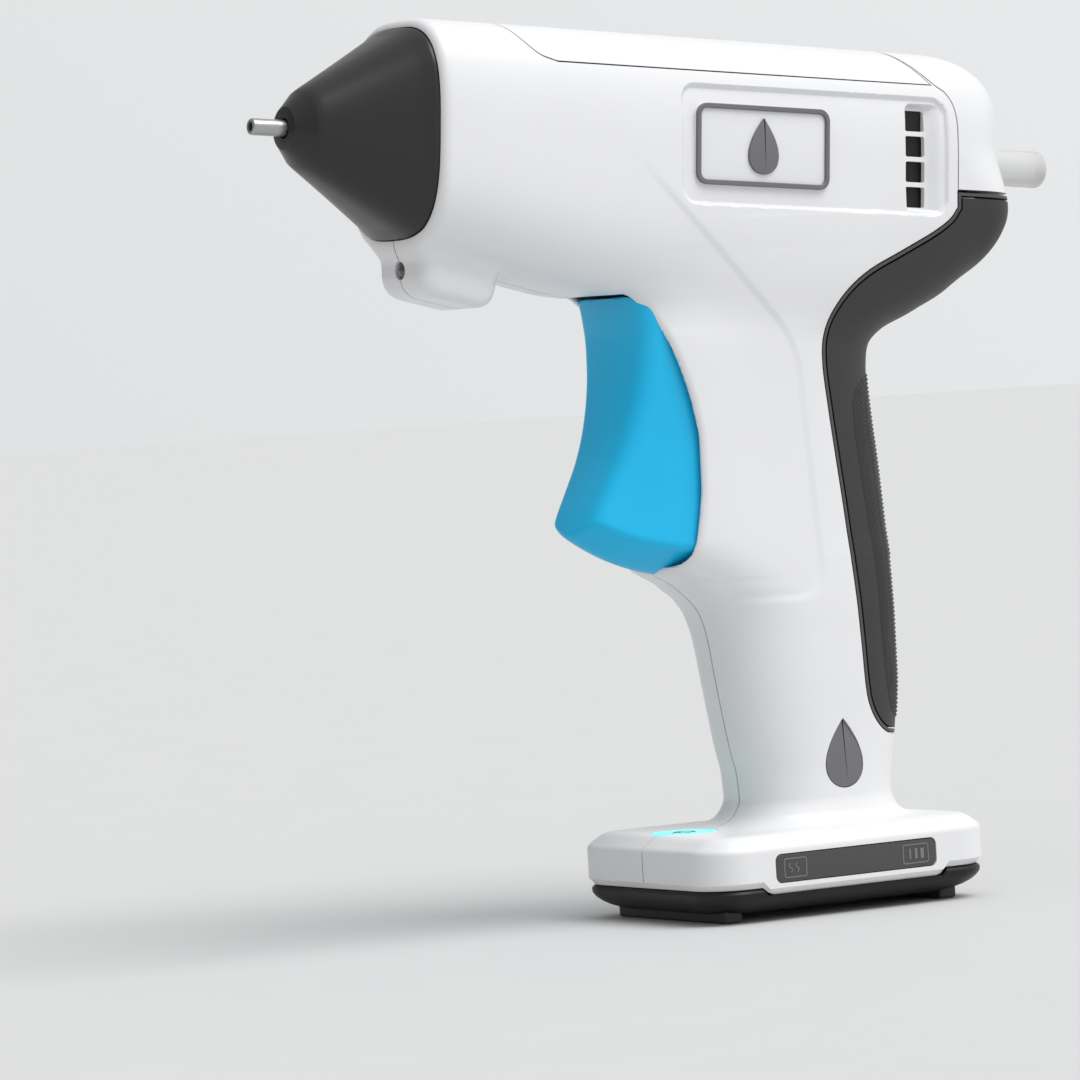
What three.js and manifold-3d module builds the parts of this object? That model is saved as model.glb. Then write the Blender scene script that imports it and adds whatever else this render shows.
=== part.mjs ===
// A cordless mini glue gun that stands on its own foot, with a glue stick in its back.
// Millimetres, +Z up. The nozzle points to -X, the gun's left side faces -Y, and Z = 0 is the
// surface that it stands on. The barrel and all that lies on its axis are in a group that is
// tilted nose up: there X runs backwards along the barrel axis and Z is square to it.
import * as THREE from 'three';
import { mergeVertices } from 'three/addons/utils/BufferGeometryUtils.js';
import Module from 'manifold-3d';

const wasm = await Module();
wasm.setup();

// ---------------------------------------------------------------- driving dimensions
const TILT = THREE.MathUtils.degToRad(4.45);   // barrel axis, nose up
const AXIS_HEIGHT = 145.96;                    // barrel axis above the floor at X = 0
const WALL = 2.1;                              // thickness of the moulded shells
const TRIGGER_WALL = 1.3;                      // thinner beside the trigger
const UNDER_GRIP_WALL = 1.2;                   // and under the rubber grip
const GAP = 0.3;                               // clearance between pieces that meet
const GRIP_THICKNESS = 2.5;                    // rubber grip over the shells
const SIDES = 20;                              // facets around a lofted section

const STICK_RADIUS = 3.6;
const STICK_LENGTH = 100;
const STICK_END = 89.25;                       // back end of the stick along the barrel axis
const STICK_BORE = 4.3;                        // radius of the guides that the stick slides in

const NOZZLE_TIP = -89.4;
const CONE_TIP = -82.4;
const CONE_BASE = -57.7;
const CONE_HEIGHT = 38.8;
const CONE_WIDTH = 31.2;
const BARREL_FRONT = -58.6;
const REAR_DOME_START = 57;
const REAR_END = 74.5;
const BARREL_EXPONENT = 3.1;
const BARREL_HALF_WIDTH = 17.3;                // at the panels in its sides

const PANEL = { front: -6, back: 55, low: -11.2, high: 10.9, depth: 0.7 };
const BADGE = { front: -3, back: 27.4, low: -7.7, high: 7.7, thickness: 1.2 };
const VENT = { front: 46.5, back: 50.7, low: -9.9, high: 8.7, slots: 4, rib: 0.9 };
const INLAY = { x: 25.2, z: 29.4, radius: 4.2, thickness: 0.9, side: 12.9 };

const COVER_SEAM = 13.8;                       // height of the top cover's seam over the axis
const CAP_SEAM = 57.4;                         // front edge of the rear cap along the axis
const CAP_BOTTOM = -6.3;                       // lower edge of the rear cap below the axis

const PIVOT = { x: 2, z: 113 };                // trigger pin
const TRIGGER_REACH = 48.2;                    // pivot to the trigger's curved lower edge
const OPENING_REACH = 48.8;                    // pivot to the ledge under it
const TRIGGER_HALF_WIDTH = 10.9;
const PIN_RADIUS = 1.5;
const ARM_REACH = 24;                          // pivot to the fork that drives the carriage
const ARM_LEAN = THREE.MathUtils.degToRad(6.5);

const FOOT = { front: -13.5, back: 51.9, halfWidth: 24.5, corner: 8, top: 16.4, edge: 13.9 };
const FOOT_SPLIT = 7.7;                        // where the white shells meet the dark tray
const TRAY_BOTTOM = 1.6;
const PAD = { xs: [-5.6, 44.1], halfLength: 2, halfWidth: 18.3, top: 2.8 };
const WINDOW = { front: 0.3, back: 37.2, low: 7.3, high: 12.5, thickness: 1.6 };
const WINDOW_APRON = { front: -1.4, back: 38.8, low: 6.3 };
const BUTTON = { x: -3.5, radius: 4.9, travel: 0.8 };
const RING = { inner: 5.2, outer: 6.3 };
const BOARD = { front: -8.3, back: 40, halfWidth: 11, low: 5, thickness: 1.2 };
const BATTERY = { x: 28.6, radius: 9.15, low: 14, length: 48 };

const SCREW = { radius: 1.4, head: 2.7, headHeight: 1.9, seat: 6, tip: -6.2 };
const BOSS_RADIUS = 3.9;
const SCREW_PLACES = [[-44.5, 125.6], [-47, 162.4], [18, 122], [38, 127.4], [13.5, 50], [14.5, 27]];
const TRAY_SCREW_PLACES = [[3, -16], [3, 16], [35.5, -16], [35.5, 16]];

// ---------------------------------------------------------------- materials
const colour = (hex, roughness, metalness = 0) =>
  new THREE.MeshStandardMaterial({ color: hex, roughness, metalness });
const white = colour(0xeceded, 0.32);
const charcoal = colour(0x333436, 0.6);
const rubber = colour(0x3a3b3d, 0.8);
const blackCone = colour(0x1d1e20, 0.38);
const blue = colour(0x23b2e3, 0.35);
const grey = colour(0x6b6e73, 0.5);
const smoke = colour(0x48494b, 0.15);
const teal = colour(0x7ff5ee, 0.4);
const steel = colour(0xb9bcc0, 0.28, 1);
const brass = colour(0xc9a45c, 0.35, 1);
const aluminium = colour(0xc4c6c8, 0.45, 1);
const silicone = colour(0xb5482f, 0.6);
const glue = colour(0xe8e8e4, 0.4);
const boardGreen = colour(0x2c6e49, 0.5);
const wireRed = colour(0xb8322a, 0.5);
const wireBlack = colour(0x222222, 0.5);
const cellBlue = colour(0x3c6fa8, 0.4);

// ---------------------------------------------------------------- solids
function solid(geometry) {
  const bare = geometry.clone();
  for (const name of ['normal', 'uv']) bare.deleteAttribute(name);
  const merged = mergeVertices(bare, 1e-4);
  const vertProperties = new Float32Array(merged.attributes.position.array);
  const triVerts = facingOut(vertProperties, new Uint32Array(merged.index.array));
  return new wasm.Manifold(new wasm.Mesh({ numProp: 3, vertProperties, triVerts }));
}

// Turns the triangles round if they enclose a negative volume, and drops those with no area.
function facingOut(points, triangles) {
  const corner = (i) => new THREE.Vector3().fromArray(points, 3 * i);
  const kept = [];
  let volume = 0;
  for (let t = 0; t < triangles.length; t += 3) {
    const [a, b, c] = triangles.subarray(t, t + 3);
    if (a === b || b === c || a === c) continue;
    volume += corner(a).dot(corner(b).cross(corner(c)));
    kept.push([a, b, c]);
  }
  return new Uint32Array(kept.flatMap(([a, b, c]) => (volume < 0 ? [a, c, b] : [a, b, c])));
}

function surface(manifold) {
  const mesh = manifold.getMesh();
  const geometry = new THREE.BufferGeometry();
  geometry.setAttribute('position', new THREE.BufferAttribute(mesh.vertProperties, 3));
  geometry.setIndex(new THREE.BufferAttribute(mesh.triVerts, 1));
  geometry.computeVertexNormals();
  return geometry;
}

const union = (solids) => solids.reduce((joined, next) => joined.add(next));
const cut = (body, cutters) => cutters.reduce((left, next) => left.subtract(next), body);

// A cut can leave crumbs of wall behind: the piece is the largest of the parts.
const largest = (body) =>
  body.decompose().reduce((big, next) => (next.volume() > big.volume() ? next : big));

// A closed skin over rings that all have the same number of points, capped at both ends.
function loft(rings) {
  const count = rings[0].length;
  const points = rings.flat();
  const index = [];
  for (let r = 0; r + 1 < rings.length; r += 1) {
    for (let i = 0; i < count; i += 1) {
      const a = r * count + i;
      const b = r * count + (i + 1) % count;
      index.push(a, b, b + count, a, b + count, a + count);
    }
  }
  for (const [start, flip] of [[0, true], [points.length - count, false]]) {
    const ring = points.slice(start, start + count);
    const centre = ring.reduce((sum, p) => sum.add(p), new THREE.Vector3()).divideScalar(count);
    const hub = points.push(centre) - 1;
    for (let i = 0; i < count; i += 1) {
      const pair = [start + i, start + (i + 1) % count];
      if (flip) pair.reverse();
      index.push(hub, ...pair);
    }
  }
  return solid(new THREE.BufferGeometry().setFromPoints(points).setIndex(index));
}

// One ring of a superellipse: across along Y, along in the ring's own second direction.
function superellipse(halfAcross, halfAlong, exponent, place) {
  const bend = (value) => Math.sign(value) * Math.abs(value) ** (2 / exponent);
  return Array.from({ length: SIDES }, (_, i) => {
    const angle = (2 * Math.PI * i) / SIDES;
    return place(halfAcross * bend(Math.sin(angle)), halfAlong * bend(Math.cos(angle)));
  });
}

const uprightRing = (x, top, bottom, halfWidth, exponent) =>
  superellipse(halfWidth, (top - bottom) / 2, exponent,
    (y, z) => new THREE.Vector3(x, y, (top + bottom) / 2 + z));
const levelRing = (z, front, back, halfWidth, exponent) =>
  superellipse(halfWidth, (back - front) / 2, exponent,
    (y, x) => new THREE.Vector3((front + back) / 2 + x, y, z));

// Side-view outline of [x, z] points, with a thickness from y = low to y = high.
function slab(outline, low, high) {
  const shape = new THREE.Shape(outline.map(([x, z]) => new THREE.Vector2(x, z)));
  const geometry = new THREE.ExtrudeGeometry(shape, { depth: high - low, bevelEnabled: false });
  return solid(geometry.rotateX(Math.PI / 2).translate(0, high, 0));
}

function box(x0, x1, y0, y1, z0, z1) {
  const geometry = new THREE.BoxGeometry(x1 - x0, y1 - y0, z1 - z0);
  return solid(geometry.translate((x0 + x1) / 2, (y0 + y1) / 2, (z0 + z1) / 2));
}

function rodAlongX(radius, low, high, z, facets = 20) {
  const geometry = new THREE.CylinderGeometry(radius, radius, high - low, facets);
  return solid(geometry.rotateZ(Math.PI / 2).translate((low + high) / 2, 0, z));
}

function rodAlongY(radius, low, high, x, z, facets = 14) {
  const geometry = new THREE.CylinderGeometry(radius, radius, high - low, facets);
  return solid(geometry.translate(x, (low + high) / 2, z));
}

function rodAlongZ(radius, low, high, x, y, facets = 14) {
  const geometry = new THREE.CylinderGeometry(radius, radius, high - low, facets);
  return solid(geometry.rotateX(Math.PI / 2).translate(x, y, (low + high) / 2));
}

// A body turned round the X axis, from a closed profile of [x, radius] points.
function turned(profile, facets = 18) {
  const points = [...profile, profile[0]].map(([x, radius]) => new THREE.Vector2(radius, x));
  return solid(new THREE.LatheGeometry(points, facets).rotateZ(-Math.PI / 2));
}

// A body turned round a vertical axis at (x, y), from a closed profile of [radius, z] points.
function turnedUpright(profile, x, y, facets = 24) {
  const points = [...profile, profile[0]].map(([radius, z]) => new THREE.Vector2(radius, z));
  return solid(new THREE.LatheGeometry(points, facets).rotateX(Math.PI / 2).translate(x, y, 0));
}

function wire(route, radius, steps, facets = 6) {
  const curve = new THREE.CatmullRomCurve3(route.map((p) => new THREE.Vector3(...p)));
  const shape = new THREE.Shape(new THREE.EllipseCurve(0, 0, radius, radius).getPoints(facets)
    .slice(0, facets));
  const options = { steps, extrudePath: curve, bevelEnabled: false };
  return solid(new THREE.ExtrudeGeometry(shape, options));
}

const barrelPose = new THREE.Matrix4().makeRotationY(TILT).setPosition(0, 0, AXIS_HEIGHT);
const inRow = (barrelSolid) => barrelSolid.transform(barrelPose.toArray());

// ---------------------------------------------------------------- outer form of the housing
// Upright sections of the barrel: [x, top, bottom, half width], in the tilted frame.
const BARREL_SECTIONS = [
  [BARREL_FRONT, 21.3, -21.5, 17.3], [-36, 21.3, -26.3, 17.5], [-15, 21.2, -30, 17.4],
  [10, 21.1, -32, 17.3], [49, 20.8, -31, 17.2], [REAR_DOME_START, 20.6, -28.2, 17],
  [64, 19.3, -24.7, 16.2], [69, 16.6, -21, 14.5], [73, 11.2, -15.8, 10.9],
  [REAR_END, 6, -11, 6],
];

// Level sections of the handle: [z, front, back, half width, exponent]. Over the trigger the
// sections run on forwards, and the trigger's opening takes that part away.
const HANDLE_SECTIONS = [
  [15.4, 0.5, 47, 17.5, 2.6], [17.4, 6.4, 43, 14.4, 2.6], [21.4, 9.3, 41.4, 13.3, 2.6],
  [31, 8, 43, 13.4, 2.6], [45, 5.5, 44.6, 13.8, 2.6], [57, 3.3, 44.1, 14, 2.7],
  [61, 0.8, 43.9, 14, 2.8], [64.6, -6.6, 43.7, 14, 3], [65.4, -17, 43.6, 14, 3.2],
  [76.5, -20, 43.1, 14, 3.2], [101, -20, 41.4, 14.2, 3.2], [106.5, -20, 43, 14.6, 3],
  [110, -20, 47.5, 14.6, 3], [117.4, -16.4, 60, 13.8, 3], [126, -15.6, 66, 11, 3],
];

function barrelVolume(inset) {
  const squeeze = (REAR_END - inset - REAR_DOME_START) / (REAR_END - REAR_DOME_START);
  const rings = BARREL_SECTIONS.map(([x, top, bottom, halfWidth], i) => {
    const dome = x > REAR_DOME_START ? REAR_DOME_START + (x - REAR_DOME_START) * squeeze : x;
    const along = i === 0 ? x - 2 * inset : dome;
    return uprightRing(along, top - inset, bottom + inset, halfWidth - inset, BARREL_EXPONENT);
  });
  return inRow(loft(rings));
}

function handleVolume(inset) {
  const rings = HANDLE_SECTIONS.map(([z, front, back, halfWidth, exponent], i) =>
    levelRing(i === 0 ? z - 2 * inset : z, front + inset, back - inset, halfWidth - inset,
      exponent));
  return loft(rings);
}

// The work light's housing under the nose.
function noseBossVolume(inset) {
  const outline = [[-59.4, 134], [-59.4, 123], [-58.4, 121.2], [-57, 120.4], [-47.2, 117.6],
    [-44.6, 117.6], [-43, 119.2], [-42.4, 123], [-42.4, 134]];
  const centre = { x: -50.9, z: 128 };
  const shrink = (value, middle) => middle + (value - middle) * (1 - inset / 9);
  const shrunk = outline.map(([x, z]) => [shrink(x, centre.x), shrink(z, centre.z)]);
  return slab(shrunk, -7.5 + inset, 7.5 - inset);
}

function footRing(z, inset) {
  const { front, back, halfWidth, corner } = FOOT;
  const radius = Math.max(corner - inset, 1);
  const centres = [[back - inset - radius, 1, 0], [front + inset + radius, 1, 1],
    [front + inset + radius, -1, 2], [back - inset - radius, -1, 3]];
  const stepsPerCorner = SIDES / 4;
  return centres.flatMap(([x, side, quarter]) =>
    Array.from({ length: stepsPerCorner }, (_, i) => {
      const angle = (Math.PI / 2) * (quarter + i / (stepsPerCorner - 1));
      const y = side * (halfWidth - inset - radius);
      return new THREE.Vector3(x + radius * Math.cos(angle), y + radius * Math.sin(angle), z);
    }));
}

function footVolume(inset) {
  const low = inset > 0 ? 0 : WINDOW_APRON.low;
  return loft([footRing(low, inset), footRing(FOOT.edge - inset / 2, inset),
    footRing(FOOT.top - inset, inset + 3.2)]);
}

const housingVolume = (inset) =>
  union([barrelVolume, handleVolume, noseBossVolume, footVolume].map((form) => form(inset)));

// ---------------------------------------------------------------- seams, as side-view regions
const toRow = ([x, z]) => {
  const point = new THREE.Vector3(x, 0, z).applyMatrix4(barrelPose);
  return [point.x, point.z];
};
const HALF_SPAN = 30;                          // wider than the gun, for cutters

// The y range from near to far on one side of the gun: -1 is the left, 1 the right.
const onSide = (side, near, far) => (side < 0 ? [-far, -near] : [near, far]);

// Moves an outline outwards by a distance, for the clearance on the other side of a seam.
function spread(outline, distance) {
  const count = outline.length;
  const area = outline.reduce((sum, [x, z], i) => {
    const [nextX, nextZ] = outline[(i + 1) % count];
    return sum + x * nextZ - nextX * z;
  }, 0);
  const side = Math.sign(area);
  return outline.map(([x, z], i) => {
    const before = outline[(i + count - 1) % count];
    const after = outline[(i + 1) % count];
    const into = new THREE.Vector2(x - before[0], z - before[1]).normalize();
    const out = new THREE.Vector2(after[0] - x, after[1] - z).normalize();
    const normal = new THREE.Vector2(into.y + out.y, -into.x - out.x).normalize();
    const stretch = distance / Math.max(normal.dot(new THREE.Vector2(into.y, -into.x)), 0.5);
    return [x + side * normal.x * stretch, z + side * normal.y * stretch];
  });
}

const coverOutline = [[-43.4, 24], [-41.6, 20.8], [-39.4, 17.6], [-36.6, 14.9], [-33, COVER_SEAM],
  [52.6, COVER_SEAM], [45, 21.4], [45, 24]].map(toRow);

const capOutline = [[46, 26], [46, 21.6], [53.4, COVER_SEAM - 0.3], [55.6, 12], [57, 9.6],
  [CAP_SEAM, 6], [CAP_SEAM, CAP_BOTTOM], [82, CAP_BOTTOM], [82, 26]].map(toRow);

const gripOutline = [
  ...[[82, CAP_BOTTOM - GAP], [CAP_SEAM - 0.4, CAP_BOTTOM - GAP]].map(toRow),
  [56.4, 131.6], [52, 128.2], [43, 124], [36, 121], [31, 117.6], [27.6, 113.8], [25.6, 109.6],
  [25.2, 104], [26.2, 94], [28.4, 76.5], [29.6, 64], [30.6, 51.5], [31.2, 42], [32.2, 37.6],
  [34.4, 34.2], [37.6, 32.4], [41, 31.6], [50, 31.6], [84, 100],
];

const triggerArc = (reach, x) => PIVOT.z - Math.sqrt(reach ** 2 - (x - PIVOT.x) ** 2);
const triggerOpening = [
  [-15.9, 121], [-13, 114.4], [-9.5, 109.4], [-6.8, 103.2], [-4.9, 97], [-3.8, 90], [-4, 82.4],
  [-4.8, 75], [-6, 69.6], [-7, 66.8],
  ...[-7, -14, -22].map((x) => [x, triggerArc(OPENING_REACH, x)]),
  [-40, 64], [-40, 122.4], [-15.9, 117],
];

const acrossGun = (outline, margin = 0) =>
  slab(margin ? spread(outline, margin) : outline, -HALF_SPAN, HALF_SPAN);

// ---------------------------------------------------------------- cuts in the shells
function roundedOutline(x0, x1, z0, z1, radius, stepsPerCorner = 4) {
  const corners = [[x1 - radius, z1 - radius, 0], [x0 + radius, z1 - radius, 1],
    [x0 + radius, z0 + radius, 2], [x1 - radius, z0 + radius, 3]];
  return corners.flatMap(([x, z, quarter]) =>
    Array.from({ length: stepsPerCorner + 1 }, (_, i) => {
      const angle = (Math.PI / 2) * (quarter + i / stepsPerCorner);
      return [x + radius * Math.cos(angle), z + radius * Math.sin(angle)];
    }));
}

// A glue drop with its point up, round the middle of the inlay.
function dropOutline(radius) {
  const points = 18;
  return Array.from({ length: points }, (_, i) => {
    const angle = (2 * Math.PI * i) / points;
    const half = 1.3 * radius * Math.sin(angle) * Math.abs(Math.sin(angle / 2)) ** 1.5;
    return [INLAY.x + half, INLAY.z + 1.55 * radius * Math.cos(angle)];
  });
}

// Solids that are cut out of one side of the housing.
function sideCuts(side) {
  const across = (outline, near, far) => slab(outline, ...onSide(side, near, far));
  const floor = BARREL_HALF_WIDTH - PANEL.depth;
  const panel = across(roundedOutline(PANEL.front, PANEL.back, PANEL.low, PANEL.high, 2.5),
    floor, HALF_SPAN);
  const badgePocket = across(roundedOutline(BADGE.front - GAP, BADGE.back + GAP, BADGE.low - GAP,
    BADGE.high + GAP, 2.4), floor - 0.6, HALF_SPAN);
  const pitch = (VENT.high - VENT.low + VENT.rib) / VENT.slots;
  const slots = Array.from({ length: VENT.slots }, (_, i) => {
    const low = VENT.low + i * pitch;
    return across(roundedOutline(VENT.front, VENT.back, low, low + pitch - VENT.rib, 0.5, 2),
      10, HALF_SPAN);
  });
  const inlayPocket = across(dropOutline(INLAY.radius + 0.2), INLAY.side - INLAY.thickness,
    HALF_SPAN);
  return [...[panel, badgePocket, ...slots].map(inRow), inlayPocket];
}

const windowHole = slab(
  roundedOutline(WINDOW.front - 0.2, WINDOW.back + 0.2, WINDOW.low - 0.2, WINDOW.high + 0.2, 1.4),
  -HALF_SPAN, -FOOT.halfWidth + WALL + 1);
const buttonHole = rodAlongZ(RING.outer + 0.2, 10, 20, BUTTON.x, 0, 32);
const socketHole = box(44, 60, -4.9, 4.9, 8.6, 12.6);
const lightHole = rodAlongX(1.9, -66, -52, 125.4);
const coneClearance = inRow(loft([BARREL_FRONT - 4, CONE_BASE + 3.8].map((x) =>
  uprightRing(x, CONE_HEIGHT / 2 + GAP, -CONE_HEIGHT / 2 - GAP, CONE_WIDTH / 2 + GAP,
    BARREL_EXPONENT))));
const triggerBay = handleVolume(TRIGGER_WALL).intersect(box(-30, 14, -20, 20, 62, 121))
  .add(box(-15.7, -1, -8.7, 8.7, 110, 121));
const belowShells = acrossGun([[-40, FOOT_SPLIT], [WINDOW_APRON.front - 1, FOOT_SPLIT],
  [WINDOW_APRON.front, WINDOW_APRON.low], [WINDOW_APRON.back, WINDOW_APRON.low],
  [WINDOW_APRON.back + 1, FOOT_SPLIT], [70, FOOT_SPLIT], [70, 0], [-40, 0]]);

// ---------------------------------------------------------------- the moulded housing
const outer = housingVolume(0);
const cavity = housingVolume(WALL);
const underGrip = housingVolume(GRIP_THICKNESS + GAP);
const cavityUnderGrip = housingVolume(GRIP_THICKNESS + GAP + UNDER_GRIP_WALL);

const gripRegion = acrossGun(gripOutline);
const gripRegionWide = acrossGun(gripOutline, GAP);
const coverRegion = acrossGun(coverOutline);
const coverRegionWide = acrossGun(coverOutline, GAP);
const capRegion = acrossGun(capOutline);
const capRegionWide = acrossGun(capOutline, GAP);
const wallSkin = outer.subtract(cavity);

function shellBosses(side) {
  const posts = SCREW_PLACES.map(([x, z]) =>
    rodAlongY(BOSS_RADIUS, ...onSide(side, GAP / 2, 16), x, z));
  const pivotBoss = rodAlongY(3.6, ...onSide(side, 7.5, 13), PIVOT.x, PIVOT.z);
  const trayPosts = TRAY_SCREW_PLACES.filter(([, y]) => Math.sign(y) === side)
    .map(([x, y]) => rodAlongZ(3.2, FOOT_SPLIT - 1, 15.4, x, y));
  return [...posts, pivotBoss, ...trayPosts];
}

function shellHoles(side) {
  const holes = SCREW_PLACES.flatMap(([x, z]) => (side < 0
    ? [rodAlongY(SCREW.radius + GAP, SCREW.tip - 0.6, 1, x, z)]
    : [rodAlongY(SCREW.radius + GAP, -1, 20, x, z),
      rodAlongY(SCREW.head + GAP, SCREW.seat - GAP, 25, x, z)]));
  const pinHole = rodAlongY(PIN_RADIUS + GAP, ...onSide(side, 5, 11.4), PIVOT.x, PIVOT.z);
  const trayHoles = TRAY_SCREW_PLACES.filter(([, y]) => Math.sign(y) === side)
    .map(([x, y]) => rodAlongZ(SCREW.radius + GAP, 0, 13.4, x, y));
  return [...holes, pinHole, ...trayHoles];
}

function shell(side) {
  const half = box(-120, 120, ...onSide(side, GAP / 2, 40), -10, 200);
  const plain = cut(wallSkin, [gripRegionWide, coverRegionWide, capRegionWide]);
  const backing = underGrip.subtract(cavityUnderGrip).intersect(acrossGun(gripOutline, 1.2));
  const walls = cut(union([plain, backing]), [triggerBay]);
  const skin = cut(union([walls, ...shellBosses(side)]).intersect(outer)
    .intersect(half), [capRegionWide, acrossGun(triggerOpening), belowShells]);
  const holes = [...shellHoles(side), ...sideCuts(side), buttonHole, socketHole, lightHole,
    coneClearance];
  if (side < 0) holes.push(windowHole);
  return largest(cut(skin, holes));
}

const stickHole = inRow(turned([[50, 0.01], [50, STICK_BORE], [90, STICK_BORE], [90, 0.01]]));
const stickGuide = inRow(turned([[60, 0.01], [60, 6.3], [73.6, 6.3], [73.6, 0.01]]));

const rearCap = largest(cut(
  union([wallSkin.intersect(capRegion), stickGuide.intersect(capRegion)]), [stickHole]));
const topCover = wallSkin.intersect(coverRegion);
const rearGrip = outer.intersect(gripRegion).subtract(housingVolume(GRIP_THICKNESS));

// ---------------------------------------------------------------- foot
function trayVolume(inset, low, high) {
  const rings = [[low, 4.6 - inset / 3], [low + 1.6, 2.2], [low + 3.6, 0.9], [high, 0.5]];
  return loft(rings.map(([z, edge]) => footRing(z, edge + inset)));
}

function tray() {
  const body = trayVolume(0, TRAY_BOTTOM, FOOT_SPLIT - GAP);
  const hollow = trayVolume(WALL, TRAY_BOTTOM + WALL, FOOT_SPLIT + 1);
  const apronCuts = [-1, 1].map((side) => box(WINDOW_APRON.front - 1.4, WINDOW_APRON.back + 1.4,
    ...onSide(side, 19, 30), WINDOW_APRON.low - GAP, 12));
  const padPockets = PAD.xs.map((x) => box(x - PAD.halfLength - 0.2, x + PAD.halfLength + 0.2,
    -PAD.halfWidth - 0.2, PAD.halfWidth + 0.2, -1, PAD.top + 0.2));
  const padFloors = PAD.xs.map((x) => box(x - PAD.halfLength - 1.4, x + PAD.halfLength + 1.4,
    -PAD.halfWidth - 1.4, PAD.halfWidth + 1.4, PAD.top - 0.8, PAD.top + 1.6));
  const posts = TRAY_SCREW_PLACES.map(([x, y]) => rodAlongZ(4, 2, FOOT_SPLIT - 1.3, x, y));
  const holes = TRAY_SCREW_PLACES.flatMap(([x, y]) => [
    rodAlongZ(SCREW.radius + GAP, 0, 10, x, y), rodAlongZ(3.1, 0, 4.2, x, y)]);
  const inside = trayVolume(0.2, TRAY_BOTTOM, FOOT_SPLIT - GAP);
  const walls = union([body.subtract(hollow), ...posts, ...padFloors.map((f) =>
    f.intersect(inside))]);
  return cut(walls, [...apronCuts, ...padPockets, ...holes]);
}

const pad = (x) => box(x - PAD.halfLength, x + PAD.halfLength, -PAD.halfWidth, PAD.halfWidth,
  0, PAD.top);

// ---------------------------------------------------------------- nose, heater and glue path
function noseCone() {
  const ring = (x, halfHeight, halfWidth, exponent) =>
    uprightRing(x, halfHeight, -halfHeight, halfWidth, exponent);
  const form = (inset) => loft([
    ring(CONE_TIP + (inset ? 1.8 : 0), 3.9 - inset / 1.4, 3.9 - inset / 1.4, 2),
    ring(CONE_TIP + 1.9 + inset / 2, 5.9 - inset, 5.7 - inset, 2.1),
    ring(-70, 12.4 - inset, 10.4 - inset, 2.6),
    ring(CONE_BASE + (inset ? 1 : 0), CONE_HEIGHT / 2 - inset, CONE_WIDTH / 2 - inset,
      BARREL_EXPONENT),
  ]);
  const rim = loft([CONE_BASE - 0.4, CONE_BASE + 3.4].map((x) =>
    ring(x, CONE_HEIGHT / 2 - 1, CONE_WIDTH / 2 - 1, BARREL_EXPONENT)));
  const bore = turned([[-95, 0.01], [-95, 1.9], [CONE_TIP + 3, 1.9], [CONE_TIP + 3, 0.01]]);
  const rimBore = loft([CONE_BASE - 1, CONE_BASE + 4].map((x) =>
    ring(x, CONE_HEIGHT / 2 - 2.8, CONE_WIDTH / 2 - 2.8, BARREL_EXPONENT)));
  return largest(cut(form(0).add(rim), [form(1.8), rimBore, bore]));
}

const nozzle = turned([[NOZZLE_TIP, 0.75], [NOZZLE_TIP, 1.3], [NOZZLE_TIP + 0.4, 1.55],
  [CONE_TIP + 3.4, 1.55], [CONE_TIP + 3.4, 2.6], [-74.6, 2.6], [-74.6, 2.2], [-67.6, 2.2],
  [-67.6, 1]]);

const meltChamber = turned([[-74.2, 2.5], [-74.2, 4.2], [-72.6, 5.2], [-40, 5.2], [-40, 6.6],
  [-37.5, 6.6], [-37.5, 5.2], [-14, 5.2], [-14, 3.9], [-50, 3.9], [-67, 2.5]]);

const heaterPlate = box(-58, -42, -4, 4, -8.4, -5.5);
const heaterClip = cut(box(-60, -42, -6.9, 6.9, -9.6, 6.9),
  [box(-70, -30, -5.6, 5.6, -8.7, 5.6)]);
const thermalFuse = turned([[-34, 0.01], [-34, 1.6], [-24, 1.6], [-24, 0.01]], 14)
  .transform(new THREE.Matrix4().makeTranslation(0, 0, 7.2).toArray());

const inletSleeve = turned([[-22, 5.5], [-22, 6.7], [-12, 6.7], [-8, 5.9], [4, 5.9],
  [4, STICK_BORE], [-13.7, STICK_BORE], [-13.7, 5.5]]);
const sleeveRing = turned([[-20.5, 7], [-20.5, 7.9], [-17.5, 7.9], [-17.5, 7]]);

const glueStick = turned([[STICK_END - STICK_LENGTH, 0.01], [STICK_END - STICK_LENGTH, 3.2],
  [STICK_END - STICK_LENGTH + 0.6, STICK_RADIUS], [STICK_END - 0.2, STICK_RADIUS],
  [STICK_END, STICK_RADIUS - 0.2], [STICK_END, 0.01]], 20);

// ---------------------------------------------------------------- feed mechanism
const CARRIAGE = { front: 11, back: 31, outer: 6.6 };
const JAW_PIN = { x: 25, z: 5.5, radius: 0.8 };
const LUG_RADIUS = 1.5;
const forkTip = { x: PIVOT.x + ARM_REACH * Math.sin(ARM_LEAN),
  z: PIVOT.z + ARM_REACH * Math.cos(ARM_LEAN) };
const toBarrel = new THREE.Vector3(forkTip.x, 0, forkTip.z)
  .applyMatrix4(barrelPose.clone().invert());
const LUG = { x: toBarrel.x, z: toBarrel.z };

function carriage() {
  const sleeve = box(CARRIAGE.front, CARRIAGE.back, -6, 6, -6.2, 6);
  const tongue = box(LUG.x - 2, CARRIAGE.front + 2, 3.2, 5.6, -7.8, -5.2);
  const drop = box(LUG.x - 2, LUG.x + 2, 3.2, 5.6, LUG.z - 2, -5.4);
  const lug = rodAlongY(LUG_RADIUS, -3, 4, LUG.x, LUG.z, 16);
  const jawSlot = box(15, 29, -2.2, 2.2, 2, 9);
  const pinHole = rodAlongY(JAW_PIN.radius + GAP, -8, 8, JAW_PIN.x, JAW_PIN.z, 12);
  const bore = turned([[0, 0.01], [0, STICK_BORE], [40, STICK_BORE], [40, 0.01]]);
  return largest(cut(union([sleeve, tongue, drop, lug]), [bore, jawSlot, pinHole]));
}

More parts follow.
